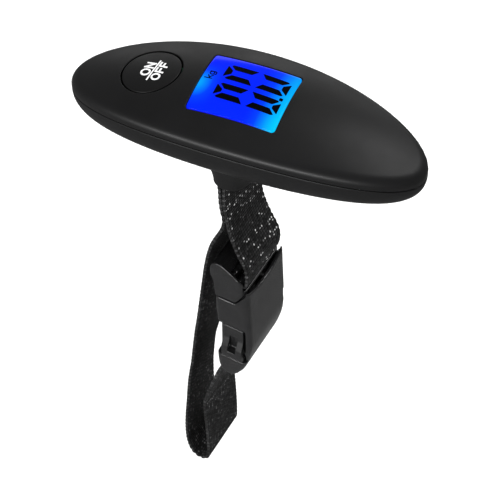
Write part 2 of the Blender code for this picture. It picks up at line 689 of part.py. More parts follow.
def webbing_route():
    """The webbing's middle line, as (normal, Z) points, from its end in the plug to its end in the socket."""
    front = [(2.7, -66.5), (2.7, -70.9), (3.4, -72.7), (5.2, -73.4), (7.0, -72.7), (7.7, -70.0)]
    front += [(7.4, -64.0), (6.1, -60.0), (4.1, -55.3), (2.6, -50.8), (1.0, -45.5), (0.5, -40.0)]
    front += [(1.3, -32.0), (2.3, -20.0)]
    round_bar = []
    for degrees in range(0, 181, 30):
        turn = math.radians(degrees)
        round_bar.append((2.5 * math.cos(turn), BAR_Z + 2.5 * math.sin(turn)))
    back = [(-2.6, -20.0), (-3.0, -26.0), (-2.6, -31.0), (-1.4, -37.0), (-1.3, -41.0), (-2.9, -46.2)]
    back += [(-5.2, -51.4), (-7.5, -58.0), (-9.7, -69.0), (-11.8, -85.6), (-15.0, -111.2), (-17.3, -135.0)]
    back += [(-19.8, -150.6), (-21.9, -177.6), (-22.0, -192.0), (-20.2, -202.3), (-17.1, -205.6)]
    back += [(-14.2, -202.6), (-13.2, -196.0), (-13.1, -180.0), (-13.1, -164.0), (-12.0, -157.0)]
    ends = [(-6.2, -136.2), (-3.6, -130.5), (-2.0, -125.5)]
    for degrees in range(165, -16, -30):
        turn = math.radians(degrees)
        ends.append((SOCKET_BAR[0] + 3.0 * math.cos(turn), SOCKET_BAR[1] + 3.0 * math.sin(turn)))
    return front + round_bar + back + ends + [(3.7, -127.5)]


def make_webbing(turned):
    bm = bmesh.new()
    half = WEBBING_WIDTH / 2
    route = smooth_route([(x, 0.0, z - BAR_Z) for x, z in webbing_route()], 2)
    rows = [[bm.verts.new((p.x, side * half, p.z)) for side in (-1, 1)] for p in route]
    for (a, b), (c, d) in zip(rows, rows[1:]):
        bm.faces.new((a, b, d, c))
    obj = add_object("webbing", bm, parent=turned)
    modifier = obj.modifiers.new("thickness", "SOLIDIFY")
    modifier.thickness = WEBBING_THICK * MM
    modifier.offset = 0.0
    return finish(obj, webbing_black)


def from_bar(points):
    """Moves (normal, Z) points into the strap's axes, whose zero is the strap bar."""
    return [(x, z - BAR_Z) for x, z in points]


def make_buckle_socket(turned):
    place = {"parent": turned}
    full = BUCKLE_HALF_WIDTH
    sections = (
        (-72.6, -2.0, 9.6, full - 0.2, 2.2),
        (-84.0, -5.2, 9.9, full, 2.6),
        (-97.0, -4.8, 10.4, full, 2.6),
        (-108.0, -4.9, 10.5, full, 2.6),
        (-117.0, -5.1, 8.8, full, 2.6),
        (-123.0, -5.2, 7.0, full - 0.3, 2.6),
        (-127.5, -4.7, 4.9, full - 0.6, 2.2),
        (-130.6, -2.6, 1.8, full - 1.0, 1.6),
    )
    rings = []
    for z, low_x, high_x, half, radius in sections:
        rings.append(rounded_rectangle((low_x, -half), (high_x, half), radius, z - BAR_Z))
    socket = loft("buckle_socket", rings, **place)
    above = from_bar([(-12, MOUTH_Z), (4.05, MOUTH_Z), (8.4, -75.9), (8.4, -60), (-12, -60)])
    cut(socket, outline_solid("mouth", above, -20, 20, "xz", **place))
    scoop_z = SCOOP_LOW_Z + SCOOP_RADIUS - BAR_Z
    cut(socket, cylinder("scoop", (-15, 0, scoop_z), (1, 0, 0), 40, SCOOP_RADIUS, 72, **place))
    low = (-2.5, -CAVITY_HALF_WIDTH, CAVITY_FLOOR_Z - BAR_Z)
    cut(socket, box("cavity", low, (8.1, CAVITY_HALF_WIDTH, -70.0 - BAR_Z), **place))
    for side in (-1, 1):
        y_low, y_high = sorted((side * 10.0, side * 20.0))
        low = (-8.0, y_low, WINDOW_BOTTOM_Z - BAR_Z)
        cut(socket, box(f"side_window_{side}", low, (8.3, y_high, WINDOW_TOP_Z - BAR_Z), **place))
    strap_space = [(-3.2, -119.3), (5.3, -119.3), (5.3, -134), (-12, -134), (-12, -128.5), (-3.2, -125.5)]
    across = (-CAVITY_HALF_WIDTH, CAVITY_HALF_WIDTH)
    cut(socket, outline_solid("strap_space", from_bar(strap_space), *across, "xz", **place))
    bar = (SOCKET_BAR[0], -13.5, SOCKET_BAR[1] - BAR_Z)
    join(socket, cylinder("socket_bar", bar, ACROSS, 27.0, 2.0, 20, **place))
    return finish(socket, buckle_plastic)


def make_buckle_plug(turned):
    place = {"parent": turned}
    side_view = from_bar([
        (-4.8, -82.0), (-5.5, -74.0), (-7.0, -69.5), (-6.9, -66.5), (-5.9, -64.2), (-4.1, -62.8),
        (-1.9, -62.9),
        (1.7, -65.2), (4.9, -68.0), (6.9, -70.0), (7.6, -72.0), (7.8, -75.6), (7.8, -76.0), (3.85, -82.0),
    ])
    plug = outline_solid("buckle_plug", side_view, -14.2, 14.2, "xz", **place)
    cut(plug, box("webbing_pocket", (1.6, -13.0, -74.6 - BAR_Z), (12.0, 13.0, -55.0 - BAR_Z), **place))
    bar = (PLUG_BAR[0], -13.6, PLUG_BAR[1] - BAR_Z)
    join(plug, cylinder("plug_bar", bar, ACROSS, 27.2, 1.5, 20, **place))
    join(plug, box("insert", (-1.8, -12.2, -84.0 - BAR_Z), (3.6, 12.2, -81.0 - BAR_Z), **place))
    join(plug, box("centre_guide", (-0.8, -2.6, -108.0 - BAR_Z), (3.2, 2.6, -83.0 - BAR_Z), **place))
    return finish(plug, buckle_plastic)


def make_latch_arm(name, side, turned):
    """One squeeze arm, as an outline across the webbing, pivoting where it meets the plug."""
    pivot = (0.0, side * LATCH_PIVOT[0], LATCH_PIVOT[1] - BAR_Z)
    outline = [
        (7.4, -84.7), (10.2, -84.7), (12.2, -90.0), (12.4, -97.9), (14.3, -98.1), (14.3, -104.8),
        (16.2, -105.4), (16.2, -115.2), (15.2, -116.6), (12.7, -116.6), (11.6, -108.0), (9.9, -98.0),
        (9.2, -91.0), (7.4, -87.0),
    ]
    points = [(side * y, z) for y, z in from_bar(outline)]
    arm = outline_solid(name, points, -1.6, 7.2, "yz", parent=turned, centre=pivot)
    y_low, y_high = sorted((side * 13.2, side * 20.0))
    grip = {"parent": turned}
    low = (1.2, y_low, -111.8 - BAR_Z)
    cut(arm, box(name + "_recess", low, (4.6, y_high, -106.4 - BAR_Z), **grip))
    return finish(arm, buckle_plastic)


def make_strap():
    turned = empty("strap_axes", (NECK_X, 0.0, BAR_Z), STRAP_YAW)
    make_hanger(turned)
    make_webbing(turned)
    make_buckle_socket(turned)
    make_buckle_plug(turned)
    make_latch_arm("latch_arm_near", -1, turned)
    make_latch_arm("latch_arm_far", 1, turned)


make_top_housing()
make_bottom_housing()
make_display_window()
make_power_button()
make_display_stack()
make_circuit_board()
make_switch()
make_housing_screws()
make_load_cell()
make_battery()
make_battery_cover()
make_wires()
make_strap()
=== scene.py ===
import json
import math

import bmesh
import bpy
import numpy as np
from mathutils import Matrix, Vector


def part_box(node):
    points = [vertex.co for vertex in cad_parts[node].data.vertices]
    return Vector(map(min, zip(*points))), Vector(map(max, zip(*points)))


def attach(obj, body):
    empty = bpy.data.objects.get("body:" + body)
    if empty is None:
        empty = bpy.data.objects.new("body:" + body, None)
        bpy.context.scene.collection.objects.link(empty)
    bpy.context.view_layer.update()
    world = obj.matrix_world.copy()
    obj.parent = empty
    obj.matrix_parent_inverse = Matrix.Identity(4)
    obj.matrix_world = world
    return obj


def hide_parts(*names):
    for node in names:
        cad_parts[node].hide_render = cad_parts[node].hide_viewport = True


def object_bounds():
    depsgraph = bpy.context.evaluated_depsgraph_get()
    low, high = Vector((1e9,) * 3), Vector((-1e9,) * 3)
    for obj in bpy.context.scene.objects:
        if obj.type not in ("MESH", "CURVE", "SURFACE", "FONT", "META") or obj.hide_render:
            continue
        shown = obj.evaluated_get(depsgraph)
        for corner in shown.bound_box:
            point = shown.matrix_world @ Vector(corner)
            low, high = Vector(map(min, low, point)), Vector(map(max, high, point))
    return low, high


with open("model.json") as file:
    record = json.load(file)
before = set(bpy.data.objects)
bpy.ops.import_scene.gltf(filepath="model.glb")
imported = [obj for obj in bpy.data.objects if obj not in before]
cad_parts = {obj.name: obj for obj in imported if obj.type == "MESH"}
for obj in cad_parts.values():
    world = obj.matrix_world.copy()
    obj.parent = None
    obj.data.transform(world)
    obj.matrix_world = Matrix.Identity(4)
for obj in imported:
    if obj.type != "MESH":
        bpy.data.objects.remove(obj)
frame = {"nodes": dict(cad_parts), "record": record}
cadLow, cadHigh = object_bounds()
mm = 0.001
gap = 0.3  # clearance that neighbouring parts keep, in mm like every length below


def boxOf(node):
    low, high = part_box(node)
    return np.array(low) / mm, np.array(high) / mm


def gridFaces(rows, columns, first, wrapRows, wrapColumns):
    # quads between neighbouring rows and columns of points numbered row by row
    r, c = np.meshgrid(
        np.arange(rows if wrapRows else rows - 1), np.arange(columns if wrapColumns else columns - 1), indexing="ij"
    )
    nextR, nextC = (r + 1) % rows, (c + 1) % columns
    corners = (r * columns + c, r * columns + nextC, nextR * columns + nextC, nextR * columns + c)
    return first + np.stack(corners, -1).reshape(-1, 4)


def atHeight(plan, z):
    return np.concatenate([plan, np.full((len(plan), 1), z)], -1)


def surface(name, grids, caps=(), merge=0.002):
    # one mesh of grids of points in mm, each (points, wrapRows, wrapColumns); caps are rings of points closed flat
    points, faces, count = [], [], 0
    for grid, wrapRows, wrapColumns in grids:
        rows, columns = grid.shape[:2]
        points.append(grid.reshape(-1, 3))
        faces += gridFaces(rows, columns, count, wrapRows, wrapColumns).tolist()
        count += rows * columns
    for ring in caps:
        points.append(ring)
        faces.append(list(range(count, count + len(ring))))
        count += len(ring)
    mesh = bpy.data.meshes.new(name)
    mesh.from_pydata((np.concatenate(points) * mm).tolist(), [], faces)
    bm = bmesh.new()
    bm.from_mesh(mesh)
    bmesh.ops.remove_doubles(bm, verts=bm.verts, dist=merge * mm)
    bmesh.ops.recalc_face_normals(bm, faces=bm.faces)
    if bm.calc_volume(signed=True) < 0:
        bmesh.ops.reverse_faces(bm, faces=bm.faces)
    bm.to_mesh(mesh)
    bm.free()
    made = bpy.data.objects.new(name, mesh)
    bpy.context.scene.collection.objects.link(made)
    return made


def smooth(made, angle=38.0):
    made.data.shade_smooth()
    made.data.set_sharp_from_angle(angle=math.radians(angle))
    return made


def finished(made):
    # the object with its modifiers worked into its mesh
    graph = bpy.context.evaluated_depsgraph_get()
    mesh = bpy.data.meshes.new_from_object(made.evaluated_get(graph))
    made.modifiers.clear()
    made.data = mesh
    return made


def combine(made, tool, operation="DIFFERENCE"):
    modifier = made.modifiers.new("combine", "BOOLEAN")
    modifier.operation = operation
    modifier.object = tool
    finished(made)
    bpy.data.objects.remove(tool, do_unlink=True)
    return made


def soften(made, voxel, passes):
    # rounds every edge like a moulding: a fine even mesh of the same solid, then smoothed
    remesh = made.modifiers.new("even", "REMESH")
    remesh.mode = "VOXEL"
    remesh.voxel_size = voxel * mm
    relax = made.modifiers.new("relax", "SMOOTH")
    relax.factor = 0.5
    relax.iterations = passes
    finished(made)
    made.data.shade_smooth()
    return made


def roundedOutline(halfX, halfY, radius, sideSteps=12, cornerSteps=8):
    # a rectangle with quarter circles at its corners, anticlockwise from the middle of its low left corner,
    # as points and as the outward normals there
    points, normals = [], []
    for quarter, (sx, sy) in enumerate(((1, -1), (1, 1), (-1, 1), (-1, -1))):
        turn = np.radians(270 + 90 * quarter + np.linspace(0, 90, cornerSteps + 1))
        normal = np.stack([np.cos(turn), np.sin(turn)], -1)
        centre = np.array([sx * (halfX - radius), sy * (halfY - radius)])
        nextCentre = np.array([-sy * (halfX - radius), sx * (halfY - radius)])
        corner = centre + radius * normal
        along = np.linspace(0, 1, sideSteps + 1)[1:-1, None]
        side = corner[-1] + (nextCentre + radius * normal[-1] - corner[-1]) * along
        points += [corner, side]
        normals += [normal, np.repeat(normal[-1:], sideSteps - 1, 0)]
    block = cornerSteps + sideSteps
    start = -(3 * block + cornerSteps // 2)
    return np.roll(np.concatenate(points), start, 0), np.roll(np.concatenate(normals), start, 0)


def softCorners(corners, radius, steps=5):
    # a closed outline whose corners are parabolic arcs, each reaching radius along its two sides
    corners = np.array(corners, float)
    reach = np.broadcast_to(np.array(radius, float), len(corners))[:, None]
    before, after = np.roll(corners, 1, 0) - corners, np.roll(corners, -1, 0) - corners
    lengthBefore = np.linalg.norm(before, axis=1, keepdims=True)
    lengthAfter = np.linalg.norm(after, axis=1, keepdims=True)
    enter = corners + before / lengthBefore * np.minimum(reach, 0.45 * lengthBefore)
    leave = corners + after / lengthAfter * np.minimum(reach, 0.45 * lengthAfter)
    t = np.linspace(0, 1, steps + 1)[None, :, None]
    arcs = (1 - t) ** 2 * enter[:, None] + 2 * t * (1 - t) * corners[:, None] + t**2 * leave[:, None]
    return arcs.reshape(-1, 2)


def smoothLine(points, steps):
    # the Catmull-Rom cubic through the points
    points = np.array(points, float)
    known = np.concatenate([[2 * points[0] - points[1]], points, [2 * points[-1] - points[-2]]])
    t = (np.arange(steps) / steps)[None, :, None]
    a, b, c, d = (known[i : len(known) - 3 + i][:, None, :] for i in range(4))
    line = 0.5 * (2 * b + (c - a) * t + (2 * a - 5 * b + 4 * c - d) * t**2 + (3 * b - a - 3 * c + d) * t**3)
    return np.concatenate([line.reshape(-1, points.shape[1]), points[-1:]])


def evenly(line, spacing):
    # the same line with equal steps of about spacing, and its distance at each point
    run = np.concatenate([[0], np.cumsum(np.linalg.norm(np.diff(line, axis=0), axis=1))])
    along = np.linspace(0, run[-1], round(run[-1] / spacing) + 1)
    return np.stack([np.interp(along, run, line[:, i]) for i in range(line.shape[1])], -1), along


handle = {
    "arch": 9.85,  # the middle's rise over the tips
    "rimHeight": 5.1,  # from the parting line to the edge of the dome
    "rimRadius": 3.55,
    "dome": 4.1,
    "belly": 16.9,
    "wall": 1.8,
    "seamLip": 0.35,  # rounding at the parting line
    "openingLip": 0.3,
}
topLow, topHigh = boxOf("top_housing")
halfLength = (topHigh[0] - topLow[0]) / 2
halfWidth = (topHigh[1] - topLow[1]) / 2
domeLength, domeWidth = halfLength - handle["rimRadius"], halfWidth - handle["rimRadius"]
windowLow, windowHigh = boxOf("display_window")
windowX = (windowLow[0] + windowHigh[0]) / 2
windowHalf = (windowHigh - windowLow)[:2] / 2
buttonLow, buttonHigh = boxOf("power_button")
buttonX = (buttonLow[0] + buttonHigh[0]) / 2
buttonRadius = (buttonHigh[1] - buttonLow[1]) / 2


def archAt(x):
    # the parting line's height: a parabola
    return handle["arch"] * (1 - (x / halfLength) ** 2)


def topAt(x, y):
    # the dome: a paraboloid over an ellipse, on the arch
    return archAt(x) + handle["rimHeight"] + handle["dome"] * (1 - (x / domeLength) ** 2 - (y / domeWidth) ** 2)


def bellyAt(x, y):
    # the underside: a rounded bowl over the plan ellipse, under the arch
    spread = (x / halfLength) ** 2 + (y / halfWidth) ** 2
    return archAt(x) - handle["belly"] * np.maximum(0, 1 - spread**2) ** (1 / 2.3)


def lift(plan, heightAt, drop=0.0):
    x, y = plan[..., 0], plan[..., 1]
    return np.stack([x, y, heightAt(x, y) - drop], -1)


def lippedEdge(outline, inward, heightAt, lip, depth, steps=5):
    # rows from depth below a surface up a wall and round a quarter circle of radius lip onto the surface;
    # inward points from the edge into the material
    turn = np.linspace(0, math.pi / 2, steps + 1)[:, None, None]
    curve = lift(outline + inward * lip * (1 - np.cos(turn)), heightAt)
    curve[..., 2] -= lip * (1 - np.sin(turn[..., 0]))
    return np.concatenate([lift(outline, heightAt, depth)[None], curve])


def holedPatch(hole, away, outer, heightAt, wall, rows):
    # a wall's two skins between a hole's outline and an outer line, with a rounded edge at the hole
    edge = lippedEdge(hole, away, heightAt, handle["openingLip"], wall)
    start = hole + away * handle["openingLip"]
    t = np.linspace(0, 1, rows)[1:, None, None]
    above = lift(start + (outer - start) * t, heightAt)
    below = lift(hole + (outer - hole) * np.linspace(0, 1, rows)[:, None, None], heightAt, wall)
    return [(np.concatenate([edge, above]), False, True), (below, False, True)]


def makeTopHousing():
    wall, radius = handle["wall"], handle["rimRadius"]
    clear = gap + 0.1
    windowHole, windowAway = roundedOutline(*(windowHalf + gap), 1.3, 36, 10)
    onEllipse = 3 * (len(windowHole) // 4) + 1  # points that look at the ellipse; the rest look at the split line
    splitX = (windowX - windowHalf[0] + buttonX + buttonRadius) / 2
    splitY = domeWidth * math.sqrt(1 - (splitX / domeLength) ** 2)
    sight = np.unwrap(np.arctan2(windowHole[:onEllipse, 1], windowHole[:onEllipse, 0]))
    sight *= math.atan2(splitY, splitX - windowX) / sight[-1]
    c, s = np.cos(sight), np.sin(sight)
    a = (c / domeLength) ** 2 + (s / domeWidth) ** 2
    b = windowX * c / domeLength**2
    reach = (-b + np.sqrt(b * b - a * ((windowX / domeLength) ** 2 - 1))) / a
    arc = np.stack([windowX + reach * c, reach * s], -1)
    splitYs = windowHole[onEllipse:, 1] * splitY / windowHole[onEllipse - 1, 1]
    split = np.stack([np.full(len(splitYs), splitX), splitYs], -1)
    grids = holedPatch(windowHole + [windowX, 0], windowAway, np.concatenate([arc, split]), topAt, wall, 26)
    turnEnd = math.acos(splitX / domeLength)
    turns = np.linspace(turnEnd, 2 * math.pi - turnEnd, 110)
    leftArc = np.stack([domeLength * np.cos(turns), domeWidth * np.sin(turns)], -1)
    outer = np.concatenate([leftArc, split[::-1]])
    look = np.arctan2(outer[:, 1], outer[:, 0] - buttonX)
    away = np.stack([np.cos(look), np.sin(look)], -1)
    grids += holedPatch([buttonX, 0] + (buttonRadius + clear) * away, away, outer, topAt, wall, 26)
    angles = np.concatenate([np.arctan2(arc[:, 1] / domeWidth, arc[:, 0] / domeLength), turns[1:-1]])
    grids.append((rimRows(np.sort(np.mod(angles, 2 * math.pi)), wall, radius), False, True))
    made = smooth(surface("topHousing", grids), 50)
    return dress(made, "handle", "top_housing", "softTouch")


bezierArm = 0.5523  # a Bezier arm's length, as a share of the radius, for a quarter circle


def rimRows(angles, wall, radius):
    # from the dome's edge down to the parting line and up inside: a Bezier curve that leaves along the dome's
    # slope and lands upright, then a straight wall with a rounded foot
    slope = 2 * handle["dome"] * (np.cos(angles) ** 2 / domeLength + np.sin(angles) ** 2 / domeWidth)
    pull = bezierArm * radius / np.sqrt(1 + slope**2)
    wallTop = handle["rimHeight"] - radius
    t = np.linspace(0, 1, 15)[:, None]
    first, second, third, fourth = (1 - t) ** 3, 3 * t * (1 - t) ** 2, 3 * t**2 * (1 - t), t**3
    inset = first * radius + second * (radius - pull)
    height = first * handle["rimHeight"] + second * (handle["rimHeight"] - pull * slope)
    height = height + third * (wallTop + bezierArm * radius) + fourth * wallTop
    lip = handle["seamLip"]
    turn = np.linspace(0, math.pi / 2, 5)[:, None]
    flat = np.zeros_like(angles)
    seam = gap / 2
    insets = [inset, lip * (1 - np.cos(turn)) + flat, wall + flat[None], wall + flat[None], wall + 0.6 + flat[None]]
    heights = [height, seam + lip * (1 - np.sin(turn)) + flat, seam + flat[None], wallTop + flat[None]]
    heights.append(wallTop + 1.4 + flat[None])
    inset = np.concatenate(insets + [radius + flat[None]])
    height = np.concatenate(heights + [handle["rimHeight"] - wall + flat[None]])
    x, y = (halfLength - inset) * np.cos(angles), (halfWidth - inset) * np.sin(angles)
    return np.stack([x, y, archAt(x) + height], -1)


neck = {
    "x": -1.5,
    "half": (8.1, 16.0),
    "flare": (0.016, 0.012),  # growth of the half sizes with the square of the height over the rim
    "filletOut": 5.0,
    "filletDown": 3.4,
    "lip": 0.35,
    "bore": (  # half sizes, height and power of each row of the passage
        (7.65, 15.5, -17.0, 3), (7.4, 15.2, -16.8, 3), (7.2, 14.95, -16.0, 3), (7.6, 15.3, -12.0, 3.6),
        (8.2, 15.9, -6.4, 4),
    ),
    "boreTop": (8.6, 16.3, 4.0),  # half sizes and power where the passage opens into the handle
}
neckBottom = boxOf("bottom_housing")[0][2]


def ovalAt(angles, halfX, halfY, power):
    # a superellipse round the neck's axis
    c, s = np.cos(angles), np.sin(angles)
    x = halfX * np.sign(c) * np.abs(c) ** (2 / power)
    y = halfY * np.sign(s) * np.abs(s) ** (2 / power)
    return np.stack([neck["x"] + x, y], -1)


def neckAt(angles, z):
    # the neck's outside at the heights z: it widens and squares off upwards
    high = np.asarray(z, float) - neckBottom
    halfX, halfY = (half + grow * high**2 for half, grow in zip(neck["half"], neck["flare"]))
    return ovalAt(angles, halfX, halfY, 2.5 + 0.5 * np.clip(high / 8, 0, 1))


def makeBottomHousing():
    # one closed skin: from the parting line in along the belly, down a fillet and the neck, round its rim, up
    # the bore and back out inside
    count = 288
    angles = (np.arange(count) + 0.5) * 2 * math.pi / count
    edge = np.stack([halfLength * np.cos(angles), halfWidth * np.sin(angles)], -1)
    halfX, halfY = neck["half"]
    foot = ovalAt(angles, halfX + neck["filletOut"], halfY + neck["filletOut"], 2.6)
    t = (1 - np.linspace(0, 1, 44)[::-1] ** 2.3)[:, None, None]
    belly = lift((foot + (edge - foot) * t)[::-1], bellyAt)
    seam, lip, wall = gap / 2, handle["seamLip"], handle["wall"]
    away = np.stack([np.cos(angles), np.sin(angles)], -1)
    turn = np.linspace(0, math.pi / 2, 5)[:, None, None]
    lipRows = np.concatenate([edge - away * lip * (1 - np.cos(turn)), np.zeros((5, count, 1))], -1)[::-1]
    lipRows[..., 2] = archAt(lipRows[..., 0]) - seam - lip * (1 - np.sin(turn[::-1, :, 0]))
    deep = belly[:, :, 2] < archAt(belly[:, :, 0]) - seam - lip
    belly[..., 2] = np.where(deep, belly[..., 2], archAt(belly[..., 0]) - seam - lip)
    footZ = bellyAt(foot[:, 0], foot[:, 1])
    landZ = footZ - neck["filletDown"]
    t = np.linspace(0, 1, 13)[1:, None, None]
    p0 = np.concatenate([foot, footZ[:, None]], -1)
    land = neckAt(angles, landZ)
    p3 = np.concatenate([land, landZ[:, None]], -1)
    p1 = np.concatenate([foot + (land - foot) * 0.62, (footZ + (landZ - footZ) * 0.1)[:, None]], -1)
    p2 = np.concatenate([land + (foot - land) * 0.06, (landZ + (footZ - landZ) * 0.45)[:, None]], -1)
    fillet = (1 - t) ** 3 * p0 + 3 * t * (1 - t) ** 2 * p1 + 3 * t**2 * (1 - t) * p2 + t**3 * p3
    rimZ = neckBottom + neck["lip"]
    t = np.linspace(0, 1, 9)[1:, None]
    wallZ = landZ + (rimZ - landZ) * t
    wallRows = np.concatenate([neckAt(angles, wallZ), wallZ[..., None]], -1)
    turn = np.linspace(0, math.pi / 2, 5)[1:]
    lower = [ringAt(angles, halfX, halfY, 2.5, -neck["lip"] * (1 - math.cos(a)), -math.sin(a)) for a in turn]
    bore = [atHeight(ovalAt(angles, x, y, n), z) for x, y, z, n in neck["bore"]]
    insideFoot = ovalAt(angles, *neck["boreTop"])
    t = np.linspace(0, 1, 24)[:, None, None]
    insideEdge = edge * ((halfLength - wall) / halfLength)
    inside = lift(insideFoot + (insideEdge - insideFoot) * t, bellyAt, -wall)
    ceiling = archAt(inside[..., 0]) - seam
    inside[..., 2] = np.minimum(inside[..., 2], ceiling)
    rows = np.concatenate([lipRows, belly, fillet, wallRows, np.array(lower), np.array(bore), inside])
    made = surface("bottomHousing", [(rows, True, True)], merge=0.004)
    combine(made, screwColumns(), "UNION")
    combine(made, bellyOpenings())
    smooth(made, 32)
    return dress(made, "handle", "bottom_housing", "softTouch")


def ringAt(angles, halfX, halfY, power, grow, drop):
    plan = ovalAt(angles, halfX + grow, halfY + grow, power)
    z = neckBottom + neck["lip"] * (1 + drop)
    return atHeight(plan, z)


columns = {"outer": 3.8, "bore": 2.9}
screwNodes = [f"housing_screw_{i}" for i in (1, 2, 3, 4)]


def screwPlace(node):
    low, high = boxOf(node)
    return (low[0] + high[0]) / 2, (low[1] + high[1]) / 2, low[2] + 1.8 + gap  # x, y and its head's seat


def turned(centreX, centreY, profile, heightAt=None, count=48):
    # a profile of (radius, height) points turned about an upright axis; heights may follow a surface
    angles = np.arange(count) * 2 * math.pi / count
    radius, height = np.array(profile, float).T[:, :, None]
    x = centreX + radius * np.cos(angles)
    y = centreY + radius * np.sin(angles)
    z = height + (heightAt(x, y) if heightAt else 0)
    return np.stack([x, y, z + 0 * x], -1)


def screwColumns():
    grids = []
    for node in screwNodes:
        x, y, seat = screwPlace(node)
        foot = turned(x, y, [(0.001, 0.9), (columns["outer"], 0.9)], bellyAt)
        head = turned(x, y, [(columns["outer"], seat + 4), (0.001, seat + 4)])
        grids.append((np.concatenate([foot, head]), False, True))
    return surface("screwColumns", grids)


def bellyOpenings():
    grids = []
    for node in screwNodes:
        x, y, seat = screwPlace(node)
        radius = columns["bore"]
        grids.append((turned(x, y, [(0.001, -16), (radius, -16), (radius, seat), (0.001, seat)]), False, True))
    # the door's opening leaves more room at its hinged end, where the lip swings out
    outline, _ = roundedOutline(*(coverHalf + gap + [0.35, 0.05]), coverCorner + gap, 8, 6)
    outline = outline + [coverX - 0.2, 0]
    rings = [atHeight(outline, z) for z in (-16.0, -1.0)]
    grids.append((np.array(rings), False, True))
    return surface("bellyOpenings", grids, caps=rings)


coverLow, coverHigh = boxOf("battery_cover")
coverX = (coverLow[0] + coverHigh[0]) / 2
coverHalf = (coverHigh - coverLow)[:2] / 2
coverCorner = 1.6
cover = {"lip": 0.3, "gripX": 7.6, "gripHalf": (2.6, 6.0), "ridges": 2.4, "depth": 0.55}


def coverAt(x, y):
    # the belly with a thumb grip: a shallow oval dish holding straight ridges
    u, v = (x - coverX - cover["gripX"]) / cover["gripHalf"][0], y / cover["gripHalf"][1]
    dish = np.clip(1.2 - (u * u + v * v), 0, 1) ** 0.5
    ridge = 0.5 + 0.5 * np.cos(math.pi * u * cover["ridges"])
    return bellyAt(x, y) + cover["depth"] * dish * (1 - 0.75 * ridge)


def lidRows(outline, normal, middleX, faceAt, backAt, lip, thick, faceRows, backRows):
    # a closed lid: from the middle of its back out to its lipped edge and in again over its face
    outline, centre = outline + [middleX, 0], np.array([middleX, 0.0])
    edge = lippedEdge(outline, -normal, faceAt, lip, thick)
    inward = np.linspace(1, 0, faceRows)[1:, None, None]
    outward = np.linspace(0, 1, backRows)[:, None, None]
    face = lift(centre + (outline - normal * lip - centre) * inward, faceAt)
    back = lift(centre + (outline - centre) * outward, backAt, thick)
    return np.concatenate([back, edge, face])


def makeBatteryCover():
    outline, normal = roundedOutline(*coverHalf, coverCorner, 40, 8)
    under = lambda x, y: -coverAt(x, y)
    plain = lambda x, y: -bellyAt(x, y)
    rows = lidRows(outline, normal, coverX, under, plain, cover["lip"], handle["wall"], 60, 12)
    rows[..., 2] *= -1
    made = smooth(surface("batteryCover", [(rows, False, True)]), 45)
    return dress(made, "cover", "battery_cover", "softTouch")


window = {"corner": 1.0, "lip": 0.22, "thick": 1.6}


def makeDisplayWindow():
    outline, normal = roundedOutline(*windowHalf, window["corner"], 24, 8)
    rows = lidRows(outline, normal, windowX, topAt, topAt, window["lip"], window["thick"], 30, 14)
    made = smooth(surface("displayWindow", [(rows, False, True)]), 45)
    return dress(made, "handle", "display_window", "litWindow")


button = {"lip": 0.5, "inset": 0.1, "thick": 1.4, "stemRadius": 2.0}


def makePowerButton():
    # a cap turned about the button's axis, riding on the dome, with a rounded rim and a stem under it
    lip, radius = button["lip"], buttonRadius - button["inset"]
    turn = np.linspace(0, math.pi / 2, 7)
    rim = np.stack([radius - lip * (1 - np.cos(turn)), -lip * (1 - np.sin(turn))], -1)
    face = np.stack([np.linspace(radius - lip, 0.001, 26)[1:], np.zeros(25)], -1)
    profile = np.concatenate([[(button["stemRadius"], -button["thick"]), (radius, -button["thick"])], rim, face])
    cap = turned(buttonX, 0, profile, topAt, 128)
    stemLow = boxOf("switch_plunger")[1][2] + gap
    stem = turned(buttonX, 0, [(0.001, stemLow), (button["stemRadius"], stemLow)], None, 128)
    made = smooth(surface("powerButton", [(np.concatenate([stem, cap]), False, True)]), 45)
    return dress(made, "button", "power_button", "buttonSkin")


def ring(halfX, halfY, middle, count=40):
    turn = np.arange(count) * 2 * math.pi / count
    return np.stack([middle[0] + halfX * np.cos(turn), middle[1] + halfY * np.sin(turn)], -1)


def glyph(letter, w, h):
    # a letter's strokes as (points, closed) along their middles, in a box of width w and height h
    if letter == "O":
        return [(ring(w / 2, h / 2, (w / 2, h / 2)), True)]
    if letter == "N":
        lines = [((0, 0), (0, h)), ((0, h), (w, 0)), ((w, 0), (w, h))]
    elif letter == "F":
        lines = [((0, 0), (0, h)), ((0, h), (w, h)), ((0, h * 0.5), (w * 0.85, h * 0.5))]
    elif letter == "k":
        lines = [((0, 0), (0, h)), ((0, h * 0.26), (w * 0.92, h * 0.66)), ((w * 0.3, h * 0.4), (w, 0))]
    else:
        hook = np.radians(np.linspace(0, -150, 12))
        hook = np.stack([w / 2 + w / 2 * np.cos(hook), -0.08 * h + 0.24 * h * np.sin(hook)], -1)
        tail = np.concatenate([[(w, h * 0.68)], hook])
        return [(ring(w / 2, h * 0.33, (w / 2, h * 0.34)), True), (tail, False)]
    return [(np.array(line, float), False) for line in lines]


def sectionCorners(thick):
    return ((1, -thick / 2), (1, thick / 2), (-1, thick / 2), (-1, -thick / 2))


